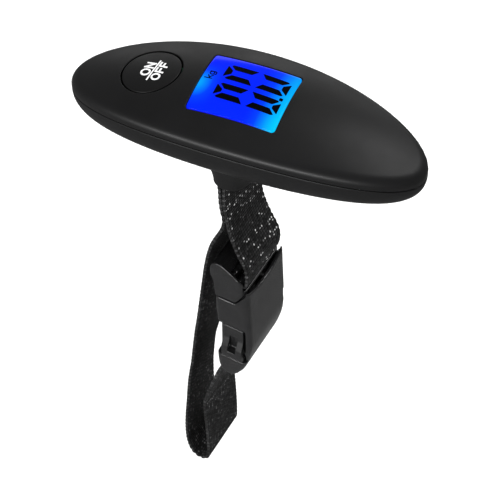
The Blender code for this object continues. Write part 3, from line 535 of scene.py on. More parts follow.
def inked(name, strokes, width, thick=0.1, turn=0.0):
    # flat strokes of one width as closed strips, centred on their own middle
    everything = np.concatenate([line for line, _ in strokes])
    middle = (everything.max(0) + everything.min(0)) / 2
    c, s = math.cos(turn), math.sin(turn)
    grids, caps = [], []
    for line, closed in strokes:
        line = (line - middle) @ np.array([[c, s], [-s, c]])
        if closed:
            along = np.roll(line, -1, 0) - np.roll(line, 1, 0)
        else:
            step = np.diff(line, axis=0)
            reach = width * 0.5 / np.linalg.norm(step[[0, -1]], axis=1, keepdims=True) * step[[0, -1]]
            line[0], line[-1] = line[0] - reach[0], line[-1] + reach[1]
            line, _ = evenly(line, 0.4)
            along = np.gradient(line, axis=0)
        side = np.stack([-along[:, 1], along[:, 0]], -1) / np.linalg.norm(along, axis=1, keepdims=True) * width / 2
        corners = [atHeight(line + k * side, z) for k, z in sectionCorners(thick)]
        grids.append((np.stack(corners, 1), closed, True))
        if not closed:
            caps += [grids[-1][0][0], grids[-1][0][-1]]
    made = surface(name, grids, caps)
    made.data.transform(Matrix.Scale(1 / mm, 4))
    return made


def spelled(name, letters, stroke, space, turn=0.0):
    # a word from (letter, width, height) of each letter's outside
    strokes, reach = [], 0.0
    for letter, width, height in letters:
        strokes += [(line + [reach, 0], closed) for line, closed in glyph(letter, width - stroke, height - stroke)]
        reach += width + space
    return inked(name, strokes, stroke, turn=turn)


def layOnTop(made, middleX, middleY, rise):
    # lays a flat drawing on the dome: its right is +Y and its up is -X
    mesh = made.data
    flat = np.empty(len(mesh.vertices) * 3)
    mesh.vertices.foreach_get("co", flat)
    u, v, w = flat.reshape(-1, 3).T
    x, y = middleX - v, middleY + u
    place = np.stack([x, y, topAt(x, y) + rise + w], -1) * mm
    mesh.vertices.foreach_set("co", place.ravel())
    mesh.update()
    return made


label = {
    "on": (("O", 3.45, 3.75), ("N", 2.95, 3.75)),
    "off": (("O", 3.3, 3.5), ("F", 2.55, 3.5), ("F", 2.55, 3.5)),
    "stroke": 0.66,
    "space": 0.38,
    "apart": 2.35,
    "line": (9.8, 0.55),
    "middle": (0.75, 0.1),  # of the line, along and across the handle from the button's middle
    "turn": math.radians(-5.5),
    "rise": 0.05,
}


def makeButtonLabel():
    middleX, middleY, apart = buttonX + label["middle"][0], label["middle"][1], label["apart"]
    length, width = label["line"]
    pieces = [
        (spelled("labelOn", label["on"], label["stroke"], label["space"], label["turn"]), -apart),
        (spelled("labelOff", label["off"], label["stroke"], label["space"], label["turn"]), apart),
        (inked("labelLine", [(np.array([(0, 0), (length, 0.0)]), False)], width, turn=label["turn"]), 0.0),
    ]
    for made, drop in pieces:
        layOnTop(made, middleX + drop, middleY - 0.1 * drop, label["rise"])
        dress(made, "button", None, "labelInk")


def plate(name, outline, thick=0.1, spacing=0.9):
    # a flat piece in mm, its outline cut finely enough to follow the dome
    closed = np.concatenate([outline, outline[:1]])
    steps = np.maximum(1, np.ceil(np.linalg.norm(np.diff(closed, axis=0), axis=1) / spacing)).astype(int)
    sides = [a + (b - a) * (np.arange(n) / n)[:, None] for a, b, n in zip(closed, closed[1:], steps)]
    outline = np.concatenate(sides)
    rings = [atHeight(outline, z) for z in (-thick / 2, thick / 2)]
    made = surface(name, [(np.array(rings), False, True)], caps=rings)
    made.data.transform(Matrix.Scale(1 / mm, 4))
    bm = bmesh.new()
    bm.from_mesh(made.data)
    bmesh.ops.triangulate(bm, faces=[f for f in bm.faces if len(f.verts) > 4])
    bm.to_mesh(made.data)
    bm.free()
    return made


digits = {
    "height": 23.5,  # along the handle
    "middles": ((-4.06, 6.75), (5.4, 7.75)),  # place across the handle, and width, of each
    "thick": 2.4,
    "gap": 0.2,  # half the clear line between segments
    "along": 2.55,  # the digits' middle past the window's middle
    "lean": 0.036,
    "unitPlace": (-13.6, 2.3),
}


def segments(width):
    # the six outer segments of a digit, with mitred ends, slanted beside the missing middle bar
    h, w, t, g = digits["height"] / 2, width / 2, digits["thick"], digits["gap"]
    inner = 0.62 * (w - t)
    top = [(-w + 0.75 + g, h), (w - 0.75 - g, h), (inner, h - t), (-inner, h - t)]
    side = [(w - 0.45, h - 0.75 - g), (w, h - 1.5 - g), (w, 0.75), (w - t, 2.6), (w - t, h - t - 0.3 - g)]
    found = [top, [(x, -y) for x, y in top]]
    for sx in (-1, 1):
        found += [[(sx * x, sy * y) for x, y in side] for sy in (-1, 1)]
    return found


def makeDigits():
    lean = np.array([[1, 0], [digits["lean"], 1]])
    for number, (middle, width) in enumerate(digits["middles"], 1):
        for part, outline in enumerate(segments(width), 1):
            made = plate(f"digit{number}Segment{part}", softCorners(outline, 0.22, 3) @ lean)
            layOnTop(made, windowX + digits["along"], middle, 0.03)
            dress(made, "handle", None, "segmentInk")
    dot = plate("decimalDot", softCorners([(-0.65, -0.65), (0.65, -0.65), (0.65, 0.65), (-0.65, 0.65)], 0.25, 3))
    low = windowX + digits["along"] + digits["height"] / 2 - 0.8
    dress(layOnTop(dot, low, -0.3, 0.03), "handle", None, "segmentInk")
    unit = spelled("unitLetters", (("k", 1.9, 2.9), ("g", 1.95, 2.75)), 0.42, 0.1)
    layOnTop(unit, *digits["unitPlace"], 0.03)
    dress(unit, "handle", None, "segmentInk")


strapYaw = math.radians(7.0)
barLow, barHigh = boxOf("strap_bar")
barZ = (barLow[2] + barHigh[2]) / 2


def strapToRow(points):
    # turns strap places into the shared frame
    a, w, z = points[..., 0], points[..., 1], points[..., 2]
    c, s = math.cos(strapYaw), math.sin(strapYaw)
    return np.stack([neck["x"] + a * c + w * s, w * c - a * s, z], -1)


webbing = {
    "halfWidth": 12.75,
    "halfThick": 0.66,
    "pick": 2.6,  # spacing of the bulges along its edges
    "scallop": 0.38,
    "rib": 0.05,
    "spacing": 0.24,
}


def webbingRoute():
    # the middle line: up the front from the plug's bar, over the strap bar, down the back round the loop's foot
    # and up to the socket's bar. The two layers lie together under the neck
    front = [(2.7, -66.5), (2.7, -70.9), (3.4, -72.7), (5.2, -73.4), (7.1, -72.7), (7.9, -70.0)]
    front += [(8.1, -65.5), (7.5, -61.7), (6.0, -58.2), (4.5, -55.0), (3.1, -51.2), (1.4, -45.8)]
    front += [(0.5, -40.0), (0.3, -34.0), (0.3, -28.0), (0.9, -20.0)]
    turns = np.radians(np.arange(0, 181, 30))
    roundBar = np.stack([2.5 * np.cos(turns), barZ + 2.5 * np.sin(turns)], -1).tolist()
    back = [(-1.4, -20.0), (-1.3, -28.0), (-1.3, -34.0), (-1.1, -40.0), (-2.9, -46.2), (-5.2, -51.4)]
    back += [(-7.5, -58.0), (-9.7, -69.0), (-11.8, -85.6), (-15.2, -111.2), (-18.6, -135.0)]
    back += [(-21.1, -150.6), (-23.0, -177.6), (-23.0, -192.0), (-21.2, -202.0), (-17.3, -205.5)]
    back += [(-13.0, -203.4), (-12.3, -196.0), (-12.6, -180.0), (-13.1, -164.0), (-12.0, -157.0)]
    turns = np.radians(np.arange(165, -16, -30))
    ends = [(-6.2, -136.2), (-3.6, -130.5), (-2.0, -125.5)]
    ends += np.stack([1.0 + 3.0 * np.cos(turns), -124.5 + 3.0 * np.sin(turns)], -1).tolist()
    return front + roundBar + back + ends + [(3.7, -127.5)]


def webbingTwist(along, height):
    # how far the strap turns about its own length, in degrees: most just under the neck, a little over the loop
    under = np.interp(height, [-44, -38, -30, -21, -14], [0, 1.5, 6.5, 8.0, 0])
    loop = np.interp(height, [-195, -165, -145, -115], [0, 5, 5, 0]) * (along > 120) * (along < 275)
    front = np.interp(height, [-72, -66, -57, -50], [0, 1.6, 1.0, 0]) * (along < 80)
    return np.radians(under - loop + front)


def makeWebbing():
    # a flat oval section carried along the route; its edges bulge at each pick, and its faces have a faint rib
    line, along = evenly(smoothLine(webbingRoute(), 12), webbing["spacing"])
    tangent = np.gradient(line, axis=0)
    tangent /= np.linalg.norm(tangent, axis=1, keepdims=True)
    normal = np.stack([-tangent[:, 1], tangent[:, 0]], -1)
    thick = webbing["halfThick"]
    flat = np.linspace(-1, 1, 12)
    turn = np.radians(np.linspace(90, -90, 7))[1:-1]
    side = webbing["halfWidth"] - thick
    end = side + thick * np.cos(turn)
    acrossBase = np.concatenate([flat * side, end, -flat * side, -end])
    isEdge = np.concatenate([0 * flat, np.cos(turn), 0 * flat, -np.cos(turn)])
    depth = np.concatenate([1 + 0 * flat, np.sin(turn), -1 + 0 * flat, -np.sin(turn)])
    pick = along[:, None] / webbing["pick"]
    bulge = webbing["scallop"] * (np.abs(np.sin(math.pi * pick + 0.5 * np.sin(along[:, None] / 7.3))) - 1)
    wander = 0.16 * np.sin(along[:, None] / 9.1) * np.sin(along[:, None] / 23.7)
    across = acrossBase + (isEdge + 0.5 * np.sign(acrossBase) * (np.abs(isEdge) > 0)) * bulge + wander
    height = depth * (thick + webbing["rib"] * (np.cos(4 * math.pi * pick) - 1) * (1 - np.abs(isEdge)))
    twist = webbingTwist(along, line[:, 1])[:, None]
    out, c, s = normal[:, None, 0] * height, np.cos(twist), np.sin(twist)
    high = line[:, None, 1] + normal[:, None, 1] * height
    place = strapToRow(np.stack([line[:, None, 0] + out * c + across * s, across * c - out * s, high], -1))
    made = surface("webbingStrap", [(place, False, True)], caps=[place[0], place[-1]], merge=0.0005)
    width = 2 * webbing["halfWidth"]
    layUv(made, place.reshape(-1, 3), across.ravel() / width + 0.5, np.repeat(along, place.shape[1]) / width)
    smooth(made, 60)
    dress(made, "strap", "webbing", "wovenStrap")
    return made


def layUv(made, points, u, v):
    # a UV map of values known at the grid's points, which are found again by their places
    mesh = made.data
    place = np.empty(len(mesh.vertices) * 3)
    mesh.vertices.foreach_get("co", place)
    keys = lambda p: [tuple(k) for k in np.round(p * 1e7).astype(np.int64).tolist()]
    lookup = dict(zip(keys(np.float32(points * mm).astype(float)), range(len(points))))
    index = np.array([lookup.get(k, 0) for k in keys(place.reshape(-1, 3))])
    corner = np.empty(len(mesh.loops), np.int32)
    mesh.loops.foreach_get("vertex_index", corner)
    values = np.stack([u[index], v[index]], -1)[corner]
    mesh.uv_layers.new(name="strapUv").data.foreach_set("uv", values.astype(np.float32).ravel())


buckle = {"half": 14.5, "mouth": -82.3, "voxel": 0.34}


def strapSolid(name, rows):
    # a closed solid of outlines stacked one over another, in strap places
    rows = strapToRow(rows)
    return surface(name, [(rows, False, True)], caps=[rows[0], rows[-1]])


def sideExtrusion(name, outline, low, high):
    # an outline in (normal, height), carried across the strap from low to high
    rows = [np.stack([outline[:, 0], np.full(len(outline), w), outline[:, 1]], -1) for w in (low, high)]
    return strapSolid(name, np.array(rows))


def block(name, low, high):
    outline = np.array([(low[0], low[2]), (high[0], low[2]), (high[0], high[2]), (low[0], high[2])], float)
    return sideExtrusion(name, outline, low[1], high[1])


def roundBar(name, a, z, radius, half):
    turns = np.arange(32) * math.pi / 16
    return sideExtrusion(name, np.stack([a + radius * np.cos(turns), z + radius * np.sin(turns)], -1), -half, half)


def makeBuckleSocket():
    # rounded rectangles stacked down the body, each one's sides read off smooth lines through the sections
    full = buckle["half"]
    sections = np.array([
        (-72.6, -2.0, 9.6, full - 0.2, 2.0),
        (-84.0, -5.2, 9.9, full, 2.1),
        (-97.0, -4.8, 10.4, full, 2.1),
        (-108.0, -4.9, 10.5, full, 2.1),
        (-117.0, -5.1, 8.8, full, 2.3),
        (-123.0, -5.2, 7.0, full - 0.3, 2.4),
        (-127.5, -4.7, 4.9, full - 0.6, 2.2),
        (-130.2, -3.2, 2.6, full - 0.9, 1.7),
        (-130.8, -2.2, 1.4, full - 1.3, 1.2),
    ])
    rows = []
    for z, low, high, half, radius in smoothLine(sections, 6):
        outline, _ = roundedOutline((high - low) / 2, half, radius, 8, 8)
        rows.append(atHeight(outline + [(high + low) / 2, 0], z))
    made = strapSolid("buckleSocket", np.array(rows))
    above = np.array([(-12, buckle["mouth"]), (4.05, buckle["mouth"]), (8.4, -75.9), (8.4, -60), (-12, -60)])
    combine(made, sideExtrusion("mouth", above, -20, 20))
    turns = np.arange(96) * 2 * math.pi / 96
    scoop = np.stack([0 * turns, 27.5 * np.cos(turns), -77.9 + 27.5 + 27.5 * np.sin(turns)], -1)
    combine(made, strapSolid("scoop", np.array([scoop + [-15, 0, 0], scoop + [25, 0, 0]])))
    combine(made, block("cavity", (-2.5, -12.8, -117.6), (8.1, 12.8, -70.0)))
    for side in (-1, 1):
        low, high = sorted((side * 10.0, side * 20.0))
        combine(made, block("sideWindow", (-8.0, low, -118.5), (8.3, high, -97.5)))
    combine(made, block("farNotch", (-8.0, 12.7, -112.0), (20.0, 20.0, -98.5)))
    space = [(-3.2, -119.3), (5.3, -119.3), (5.3, -134), (-12, -134), (-12, -128.5), (-3.2, -125.5)]
    combine(made, sideExtrusion("strapSpace", softCorners(space, 0.8), -12.8, 12.8))
    combine(made, roundBar("socketBar", 1.0, -124.5, 2.0, 13.6), "UNION")
    soften(made, buckle["voxel"], 5)
    return dress(made, "strap", "buckle_socket", "acetal")


def makeBucklePlug():
    side = [
        (-4.8, -82.0), (-5.5, -74.0), (-7.0, -69.5), (-6.9, -66.5), (-5.9, -64.2), (-4.1, -62.8), (-1.9, -62.9),
        (1.7, -65.2), (4.9, -68.0), (6.9, -70.0), (7.6, -72.0), (7.8, -76.0), (3.85, -82.0),
    ]
    radii = (0.2, 3, 2.5, 2, 1.5, 1.5, 2, 2, 1.5, 1.5, 1.2, 0.8, 0.4)
    made = sideExtrusion("bucklePlug", softCorners(side, radii), -14.2, 14.2)
    combine(made, block("pocket", (1.6, -13.0, -74.6), (12.0, 13.0, -55.0)))
    combine(made, roundBar("plugBar", 5.2, -70.9, 1.5, 13.6), "UNION")
    combine(made, block("insert", (-1.8, -12.2, -84.0), (3.6, 12.2, -81.0)), "UNION")
    combine(made, block("centreGuide", (-0.8, -2.6, -108.0), (3.2, 2.6, -83.0)), "UNION")
    outline, _ = roundedOutline(8.35, 14.2, 2.8, 4, 10)
    rows = [atHeight(outline - [0.55, 0], z) for z in (-110.0, -60.0)]
    combine(made, strapSolid("plugRounding", np.array(rows)), "INTERSECT")
    soften(made, buckle["voxel"] * 0.9, 5)
    return dress(made, "strap", "buckle_plug", "acetal")


def makeLatchArm(name, node, body, side):
    # one squeeze arm: an outline across the strap, carried along the webbing's normal
    outline = [
        (7.4, -84.7), (10.2, -84.7), (12.2, -90.0), (12.4, -97.9), (14.3, -98.1), (14.2, -104.8), (16.4, -109.6),
        (16.4, -115.2), (15.2, -116.6), (12.7, -116.6), (11.6, -108.0), (9.9, -98.0), (9.2, -91.0), (7.4, -87.0),
    ]
    radii = (0.3, 0.3, 2, 0.6, 0.4, 0.4, 0.5, 1.5, 1, 0.6, 2, 2, 2, 1)
    flat = softCorners(outline, radii) * [side, 1]
    rows = [np.stack([np.full(len(flat), a), flat[:, 0], flat[:, 1]], -1) for a in (-1.6, 7.2)]
    made = strapSolid(name, np.array(rows))
    low, high = sorted((side * 13.2, side * 20.0))
    combine(made, block("recess", (1.2, low, -111.8), (4.6, high, -104.0)))
    soften(made, 0.2, 3)
    return dress(made, body, node, "acetal")


def newGroup(name, numbers, outputs):
    # a group that takes a Vector and some numbers, and gives numbers
    group = bpy.data.node_groups.new(name, "ShaderNodeTree")
    group.interface.new_socket("Vector", in_out="INPUT", socket_type="NodeSocketVector")
    for title, value in numbers.items():
        group.interface.new_socket(title, in_out="INPUT", socket_type="NodeSocketFloat").default_value = value
    for title in outputs:
        group.interface.new_socket(title, in_out="OUTPUT", socket_type="NodeSocketFloat")
    return group, group.nodes.new("NodeGroupInput").outputs, group.nodes.new("NodeGroupOutput").inputs


def feed(tree, socket, value):
    if isinstance(value, bpy.types.NodeSocket):
        tree.links.new(value, socket)
    else:
        socket.default_value = value


def calc(tree, operation, *values):
    node = tree.nodes.new("ShaderNodeMath")
    node.operation = operation
    for socket, value in zip(node.inputs, values):
        feed(tree, socket, value)
    return node.outputs[0]


def remap(tree, value, fromLow, fromHigh, toLow, toHigh, style="SMOOTHSTEP"):
    node = tree.nodes.new("ShaderNodeMapRange")
    node.interpolation_type = style
    for socket, given in zip(node.inputs, (value, fromLow, fromHigh, toLow, toHigh)):
        feed(tree, socket, given)
    return node.outputs[0]


def noise(tree, place, scale, detail=2.0, roughness=0.5):
    node = tree.nodes.new("ShaderNodeTexNoise")
    for title, value in (("Vector", place), ("Scale", scale), ("Detail", detail), ("Roughness", roughness)):
        feed(tree, node.inputs[title], value)
    return node.outputs["Fac"]


def blendColours(tree, share, first, second):
    node = tree.nodes.new("ShaderNodeMix")
    node.data_type = "RGBA"
    for socket, value in ((node.inputs[0], share), (node.inputs[6], first), (node.inputs[7], second)):
        feed(tree, socket, value)
    return node.outputs[2]


def grainGroup():
    # fine moulded grain, and slow patches where hands have polished it
    group, given, out = newGroup("mouldGrain", {"Grain": 4000.0, "Patch": 60.0}, ("Height", "Polish"))
    fine = noise(group, given["Vector"], given["Grain"], 2.0)
    group.links.new(fine, out["Height"])
    slow = noise(group, given["Vector"], given["Patch"], 3.0, 0.6)
    group.links.new(remap(group, slow, 0.35, 0.65, 0.0, 1.0), out["Polish"])
    return group


def brushGroup():
    # long scratches along X, as from rolling or brushing
    group, given, out = newGroup("brushLines", {"Scale": 1.0}, ("Lines", "Stain"))
    stretch = group.nodes.new("ShaderNodeMapping")
    stretch.inputs["Scale"].default_value = (120, 6000, 6000)
    group.links.new(given["Vector"], stretch.inputs["Vector"])
    group.links.new(noise(group, stretch.outputs[0], given["Scale"], 2.0), out["Lines"])
    group.links.new(noise(group, given["Vector"], 260.0, 3.0), out["Stain"])
    return group


def weaveGroup():
    # plain weave: cells alternate between a warp yarn and a weft yarn on top, each round across its own width
    outputs = ("Height", "Cell", "Row", "Inside")
    group, given, out = newGroup("plainWeave", {"Warps": 20.0, "Wefts": 20.0}, outputs)
    apart = group.nodes.new("ShaderNodeSeparateXYZ")
    group.links.new(given["Vector"], apart.inputs[0])
    u = calc(group, "MULTIPLY", apart.outputs[0], given["Warps"])
    v = calc(group, "MULTIPLY", apart.outputs[1], given["Wefts"])
    roundU = calc(group, "SINE", calc(group, "MULTIPLY", calc(group, "FRACT", u), math.pi))
    roundV = calc(group, "SINE", calc(group, "MULTIPLY", calc(group, "FRACT", v), math.pi))
    cellU, cellV = calc(group, "FLOOR", u), calc(group, "FLOOR", v)
    odd = calc(group, "FLOORED_MODULO", calc(group, "ADD", cellU, cellV), 2.0)
    warpUp = calc(group, "MULTIPLY", roundU, calc(group, "MULTIPLY_ADD", roundV, 0.5, 0.5))
    weftUp = calc(group, "MULTIPLY", roundV, calc(group, "MULTIPLY_ADD", roundU, 0.5, 0.4))
    warpPart = calc(group, "MULTIPLY", warpUp, odd)
    weftPart = calc(group, "MULTIPLY", weftUp, calc(group, "SUBTRACT", 1.0, odd))
    group.links.new(calc(group, "ADD", warpPart, weftPart), out["Height"])
    join = group.nodes.new("ShaderNodeCombineXYZ")
    group.links.new(cellU, join.inputs[0])
    group.links.new(cellV, join.inputs[1])
    white = group.nodes.new("ShaderNodeTexWhiteNoise")
    white.noise_dimensions = "2D"
    group.links.new(join.outputs[0], white.inputs["Vector"])
    group.links.new(white.outputs["Value"], out["Cell"])
    # Row and Inside only place the painted glints: diagonal rows of cells, and a band clear of the edges that fades
    # past the front branch
    slant = calc(group, "FLOORED_MODULO", calc(group, "MULTIPLY_ADD", cellU, 0.25, cellV), 4.0)
    group.links.new(calc(group, "LESS_THAN", slant, 2.0), out["Row"])
    edge = calc(group, "ABSOLUTE", calc(group, "SUBTRACT", apart.outputs[0], 0.5))
    fading = remap(group, apart.outputs[1], 2.9, 3.4, 1.0, 0.22)
    group.links.new(calc(group, "MULTIPLY", calc(group, "LESS_THAN", edge, 0.47), fading), out["Inside"])
    return group


def blank(name):
    made = bpy.data.materials.new(name)
    made.use_nodes = True
    tree = made.node_tree
    shader = tree.nodes["Principled BSDF"]
    place = tree.nodes.new("ShaderNodeTexCoord")
    return made, tree, shader, place.outputs


def useGroup(tree, group, **values):
    node = tree.nodes.new("ShaderNodeGroup")
    node.node_tree = group
    for title, value in values.items():
        feed(tree, node.inputs[title], value)
    return node.outputs


def setShader(tree, shader, values):
    for title, value in values.items():
        feed(tree, shader.inputs[title], value)


def bump(tree, shader, height, strength, distance):
    node = tree.nodes.new("ShaderNodeBump")
    node.inputs["Strength"].default_value = strength
    node.inputs["Distance"].default_value = distance * mm
    tree.links.new(height, node.inputs["Height"])
    tree.links.new(node.outputs[0], shader.inputs["Normal"])


def moulded(name, look):
    # plastic or rubber: two near tones and a roughness that follow the polish patches, over a fine grain
    made, tree, shader, place = blank(name)
    grain = useGroup(tree, grainEffect, Vector=place["Object"], Grain=look["grain"], Patch=look.get("patch", 60.0))
    (tone, other), (low, high) = look["tones"], look["roughness"]
    setShader(tree, shader, {
        "Base Color": blendColours(tree, grain["Polish"], (*tone, 1), (*other, 1)),
        "Roughness": remap(tree, grain["Polish"], 0.0, 1.0, high, low, "LINEAR"),
        "Specular IOR Level": look.get("specular", 0.5),
    })
    bump(tree, shader, grain["Height"], look["bump"], 0.05)
    return made


def metal(name, look):
    # two near tones by stain, and a roughness that follows fine lines
    made, tree, shader, place = blank(name)
    lines = useGroup(tree, brushEffect, Vector=place["Object"])
    (tone, other), (low, high) = look["tones"], look["roughness"]
    setShader(tree, shader, {
        "Base Color": blendColours(tree, lines["Stain"], (*tone, 1), (*other, 1)),
        "Roughness": remap(tree, lines["Lines"], 0.3, 0.7, low, high),
        "Metallic": 1.0,
    })
    bump(tree, shader, lines["Lines"], look["bump"], 0.02)
    return made


grainEffect, brushEffect, weaveEffect = grainGroup(), brushGroup(), weaveGroup()

plasticLooks = {
    "softTouch": {
        "tones": ((0.0036, 0.0036, 0.0037), (0.0048, 0.0048, 0.005)), "roughness": (0.4, 0.47),
        "grain": 5200.0, "patch": 45.0, "bump": 0.12, "specular": 0.24,
    },
    "buttonSkin": {
        "tones": ((0.0032, 0.0032, 0.0033), (0.0042, 0.0042, 0.0043)), "roughness": (0.4, 0.47),
        "grain": 5200.0, "bump": 0.1, "specular": 0.2,
    },
    "acetal": {
        "tones": ((0.0075, 0.0075, 0.0078), (0.0095, 0.0095, 0.0098)), "roughness": (0.18, 0.24),
        "grain": 2400.0, "patch": 120.0, "bump": 0.015, "specular": 0.55,
    },
    "labelInk": {
        "tones": ((0.85, 0.85, 0.85), (0.78, 0.78, 0.78)), "roughness": (0.4, 0.5),
        "grain": 4000.0, "bump": 0.05,
    },
    "segmentInk": {
        "tones": ((0.0006, 0.0006, 0.001), (0.001, 0.001, 0.002)), "roughness": (0.14, 0.2),
        "grain": 900.0, "bump": 0.01, "specular": 0.05,
    },
    "lcdGlass": {
        "tones": ((0.25, 0.33, 0.3), (0.21, 0.29, 0.26)), "roughness": (0.06, 0.1),
        "grain": 900.0, "bump": 0.01,
    },
    "diffuser": {
        "tones": ((0.75, 0.8, 0.85), (0.7, 0.75, 0.82)), "roughness": (0.35, 0.45),
        "grain": 3000.0, "bump": 0.1,
    },
    "whitePlastic": {
        "tones": ((0.6, 0.6, 0.58), (0.55, 0.55, 0.53)), "roughness": (0.45, 0.55),
        "grain": 3000.0, "bump": 0.12,
    },
    "stripRubber": {
        "tones": ((0.5, 0.32, 0.3), (0.35, 0.2, 0.19)), "roughness": (0.65, 0.75),
        "grain": 6000.0, "bump": 0.2,
    },
    "boardGreen": {
        "tones": ((0.02, 0.16, 0.07), (0.015, 0.12, 0.05)), "roughness": (0.38, 0.48),
        "grain": 1500.0, "bump": 0.1,
    },
    "chipEpoxy": {
        "tones": ((0.012, 0.012, 0.012), (0.02, 0.02, 0.02)), "roughness": (0.32, 0.42),
        "grain": 9000.0, "bump": 0.2,
    },
    "plungerPlastic": {
        "tones": ((0.02, 0.02, 0.021), (0.028, 0.028, 0.03)), "roughness": (0.4, 0.5),
        "grain": 4000.0, "bump": 0.1,
    },
    "gaugeFilm": {
        "tones": ((0.7, 0.42, 0.08), (0.6, 0.33, 0.06)), "roughness": (0.35, 0.45),
        "grain": 5000.0, "bump": 0.1,
    },
    "leadGrey": {
        "tones": ((0.3, 0.3, 0.32), (0.26, 0.26, 0.28)), "roughness": (0.45, 0.55),
        "grain": 3000.0, "bump": 0.05,
    },
    "leadRed": {
        "tones": ((0.5, 0.03, 0.02), (0.42, 0.025, 0.018)), "roughness": (0.45, 0.55),
        "grain": 3000.0, "bump": 0.05,
    },
    "leadBlack": {
        "tones": ((0.015, 0.015, 0.015), (0.022, 0.022, 0.022)), "roughness": (0.45, 0.55),
        "grain": 3000.0, "bump": 0.05,
    },
}
metalLooks = {
    "zincSteel": {
        "tones": ((0.6, 0.6, 0.61), (0.5, 0.5, 0.52)), "roughness": (0.25, 0.4),
        "bump": 0.1,
    },
    "milledAluminium": {
        "tones": ((0.74, 0.75, 0.77), (0.66, 0.67, 0.69)), "roughness": (0.32, 0.46),
        "bump": 0.2,
    },
    "coinSteel": {
        "tones": ((0.78, 0.78, 0.79), (0.7, 0.7, 0.71)), "roughness": (0.18, 0.28),
        "bump": 0.05,
    },
    "contactMetal": {
        "tones": ((0.72, 0.67, 0.57), (0.62, 0.58, 0.5)), "roughness": (0.22, 0.34),
        "bump": 0.08,
    },
}
materials = {name: moulded(name, look) for name, look in plasticLooks.items()}
materials.update((name, metal(name, look)) for name, look in metalLooks.items())


def litWindowMaterial():
    # the lit display: deep blue, with the cyan light of lamps at two edges falling off inwards
    made, tree, shader, place = blank("litWindow")
    centre = tree.nodes.new("ShaderNodeMapping")
    centre.vector_type = "TEXTURE"
    centre.inputs["Location"].default_value = ((windowX - windowHalf[0]) * mm, -windowHalf[1] * mm, 0)
    centre.inputs["Scale"].default_value = (2 * windowHalf[0] * mm, 2 * windowHalf[1] * mm, 1)
    tree.links.new(place["Object"], centre.inputs["Vector"])
    apart = tree.nodes.new("ShaderNodeSeparateXYZ")
    tree.links.new(centre.outputs[0], apart.inputs[0])
    u, v = apart.outputs[0], apart.outputs[1]
    right = remap(tree, u, 0.62, 1.02, 0.0, 1.0)
    right = calc(tree, "MULTIPLY", right, remap(tree, v, 0.1, 1.0, 1.0, 0.72, "LINEAR"))
    middle = calc(tree, "DIVIDE", calc(tree, "SUBTRACT", v, 0.42), 0.42)
    leftBand = remap(tree, calc(tree, "ABSOLUTE", middle), 0.0, 1.0, 0.75, 0.0)
    left = calc(tree, "MULTIPLY", remap(tree, u, 0.0, 0.26, 1.0, 0.0), leftBand)
    glow = calc(tree, "MAXIMUM", right, left)
    ramp = tree.nodes.new("ShaderNodeValToRGB")
    stops = ((0.0, (0.0, 0.004, 0.93)), (0.3, (0.0, 0.04, 0.97)), (0.6, (0.0, 0.22, 1.0)), (1.0, (0.0, 0.6, 1.0)))
    for element, (position, colour) in zip([*ramp.color_ramp.elements, None, None], stops):
        if element is None:
            element = ramp.color_ramp.elements.new(position)
        element.position, element.color = position, (*colour, 1)
    tree.links.new(glow, ramp.inputs[0])
    setShader(tree, shader, {
        "Emission Color": ramp.outputs[0], "Emission Strength": 1.0, "Base Color": (0.0, 0.01, 0.1, 1),
        "Roughness": 0.1, "Specular IOR Level": 0.1,
    })
    return made


def wovenStrapMaterial():
    # black weave with painted shade in its hollows, painted glints on a few yarn tops, and a soft sheen
    made, tree, shader, place = blank("wovenStrap")
    weave = useGroup(tree, weaveEffect, Vector=place["UV"], Warps=20.0, Wefts=20.0)
    fibre = noise(tree, place["Object"], 9000.0, 3.0)
    # painted shade: the base colour darkens from the yarn tops down into the weave's hollows
    top = remap(tree, weave["Height"], 0.25, 0.95, 0.0, 1.0)
    yarn = blendColours(tree, weave["Cell"], (0.0015, 0.0015, 0.0015, 1), (0.045, 0.045, 0.046, 1))
    body = blendColours(tree, top, (0.0008, 0.0008, 0.0008, 1), yarn)
    # painted glints: a light grey base colour on a few yarn tops, in diagonal rows, away from the edges and fewer
    # past the front branch
    glint = remap(tree, weave["Cell"], 0.66, 0.95, 0.0, 1.0)
    glint = calc(tree, "MULTIPLY", glint, remap(tree, weave["Height"], 0.6, 0.85, 0.0, 1.0))
    glint = calc(tree, "MULTIPLY", calc(tree, "MULTIPLY", glint, weave["Row"]), weave["Inside"])
    setShader(tree, shader, {
        "Base Color": blendColours(tree, glint, body, (0.62, 0.62, 0.62, 1)),
        "Roughness": remap(tree, fibre, 0.3, 0.7, 0.5, 0.78),
        "Specular IOR Level": 0.25,
    })
    bump(tree, shader, calc(tree, "MULTIPLY_ADD", fibre, 0.25, weave["Height"]), 0.9, 0.3)
    return made


materials["litWindow"], materials["wovenStrap"] = litWindowMaterial(), wovenStrapMaterial()
slotOf = {s["node"]: s["material_slot"] for s in frame["record"]["subparts"]}


def dress(made, body, node, material):
    # gives a piece its material and its body, and hides the CAD node that it stands for
    made.data.materials.clear()
    made.data.materials.append(materials[material])
    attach(made, body)
    if node:
        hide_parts(node)
    return made


carried = {  # the material of each CAD piece that is shown as it is, by slot
    "lcd_glass": "lcdGlass", "backlight": "diffuser", "white_plastic": "whitePlastic",
    "contact_rubber": "stripRubber", "circuit_board": "boardGreen", "chip": "chipEpoxy", "switch_case": "zincSteel",
    "switch_plunger": "plungerPlastic", "load_cell": "milledAluminium", "gauge_film": "gaugeFilm",
    "steel_plate": "zincSteel", "screws": "zincSteel", "coin_cell": "coinSteel", "contacts": "contactMetal",
    "lead_grey": "leadGrey", "lead_red": "leadRed", "lead_black": "leadBlack",
}


def dressCarried():
    for name, node in frame["nodes"].items():
        if not node.hide_render:
            node.data.materials.clear()
            node.data.materials.append(materials[carried[slotOf[name]]])


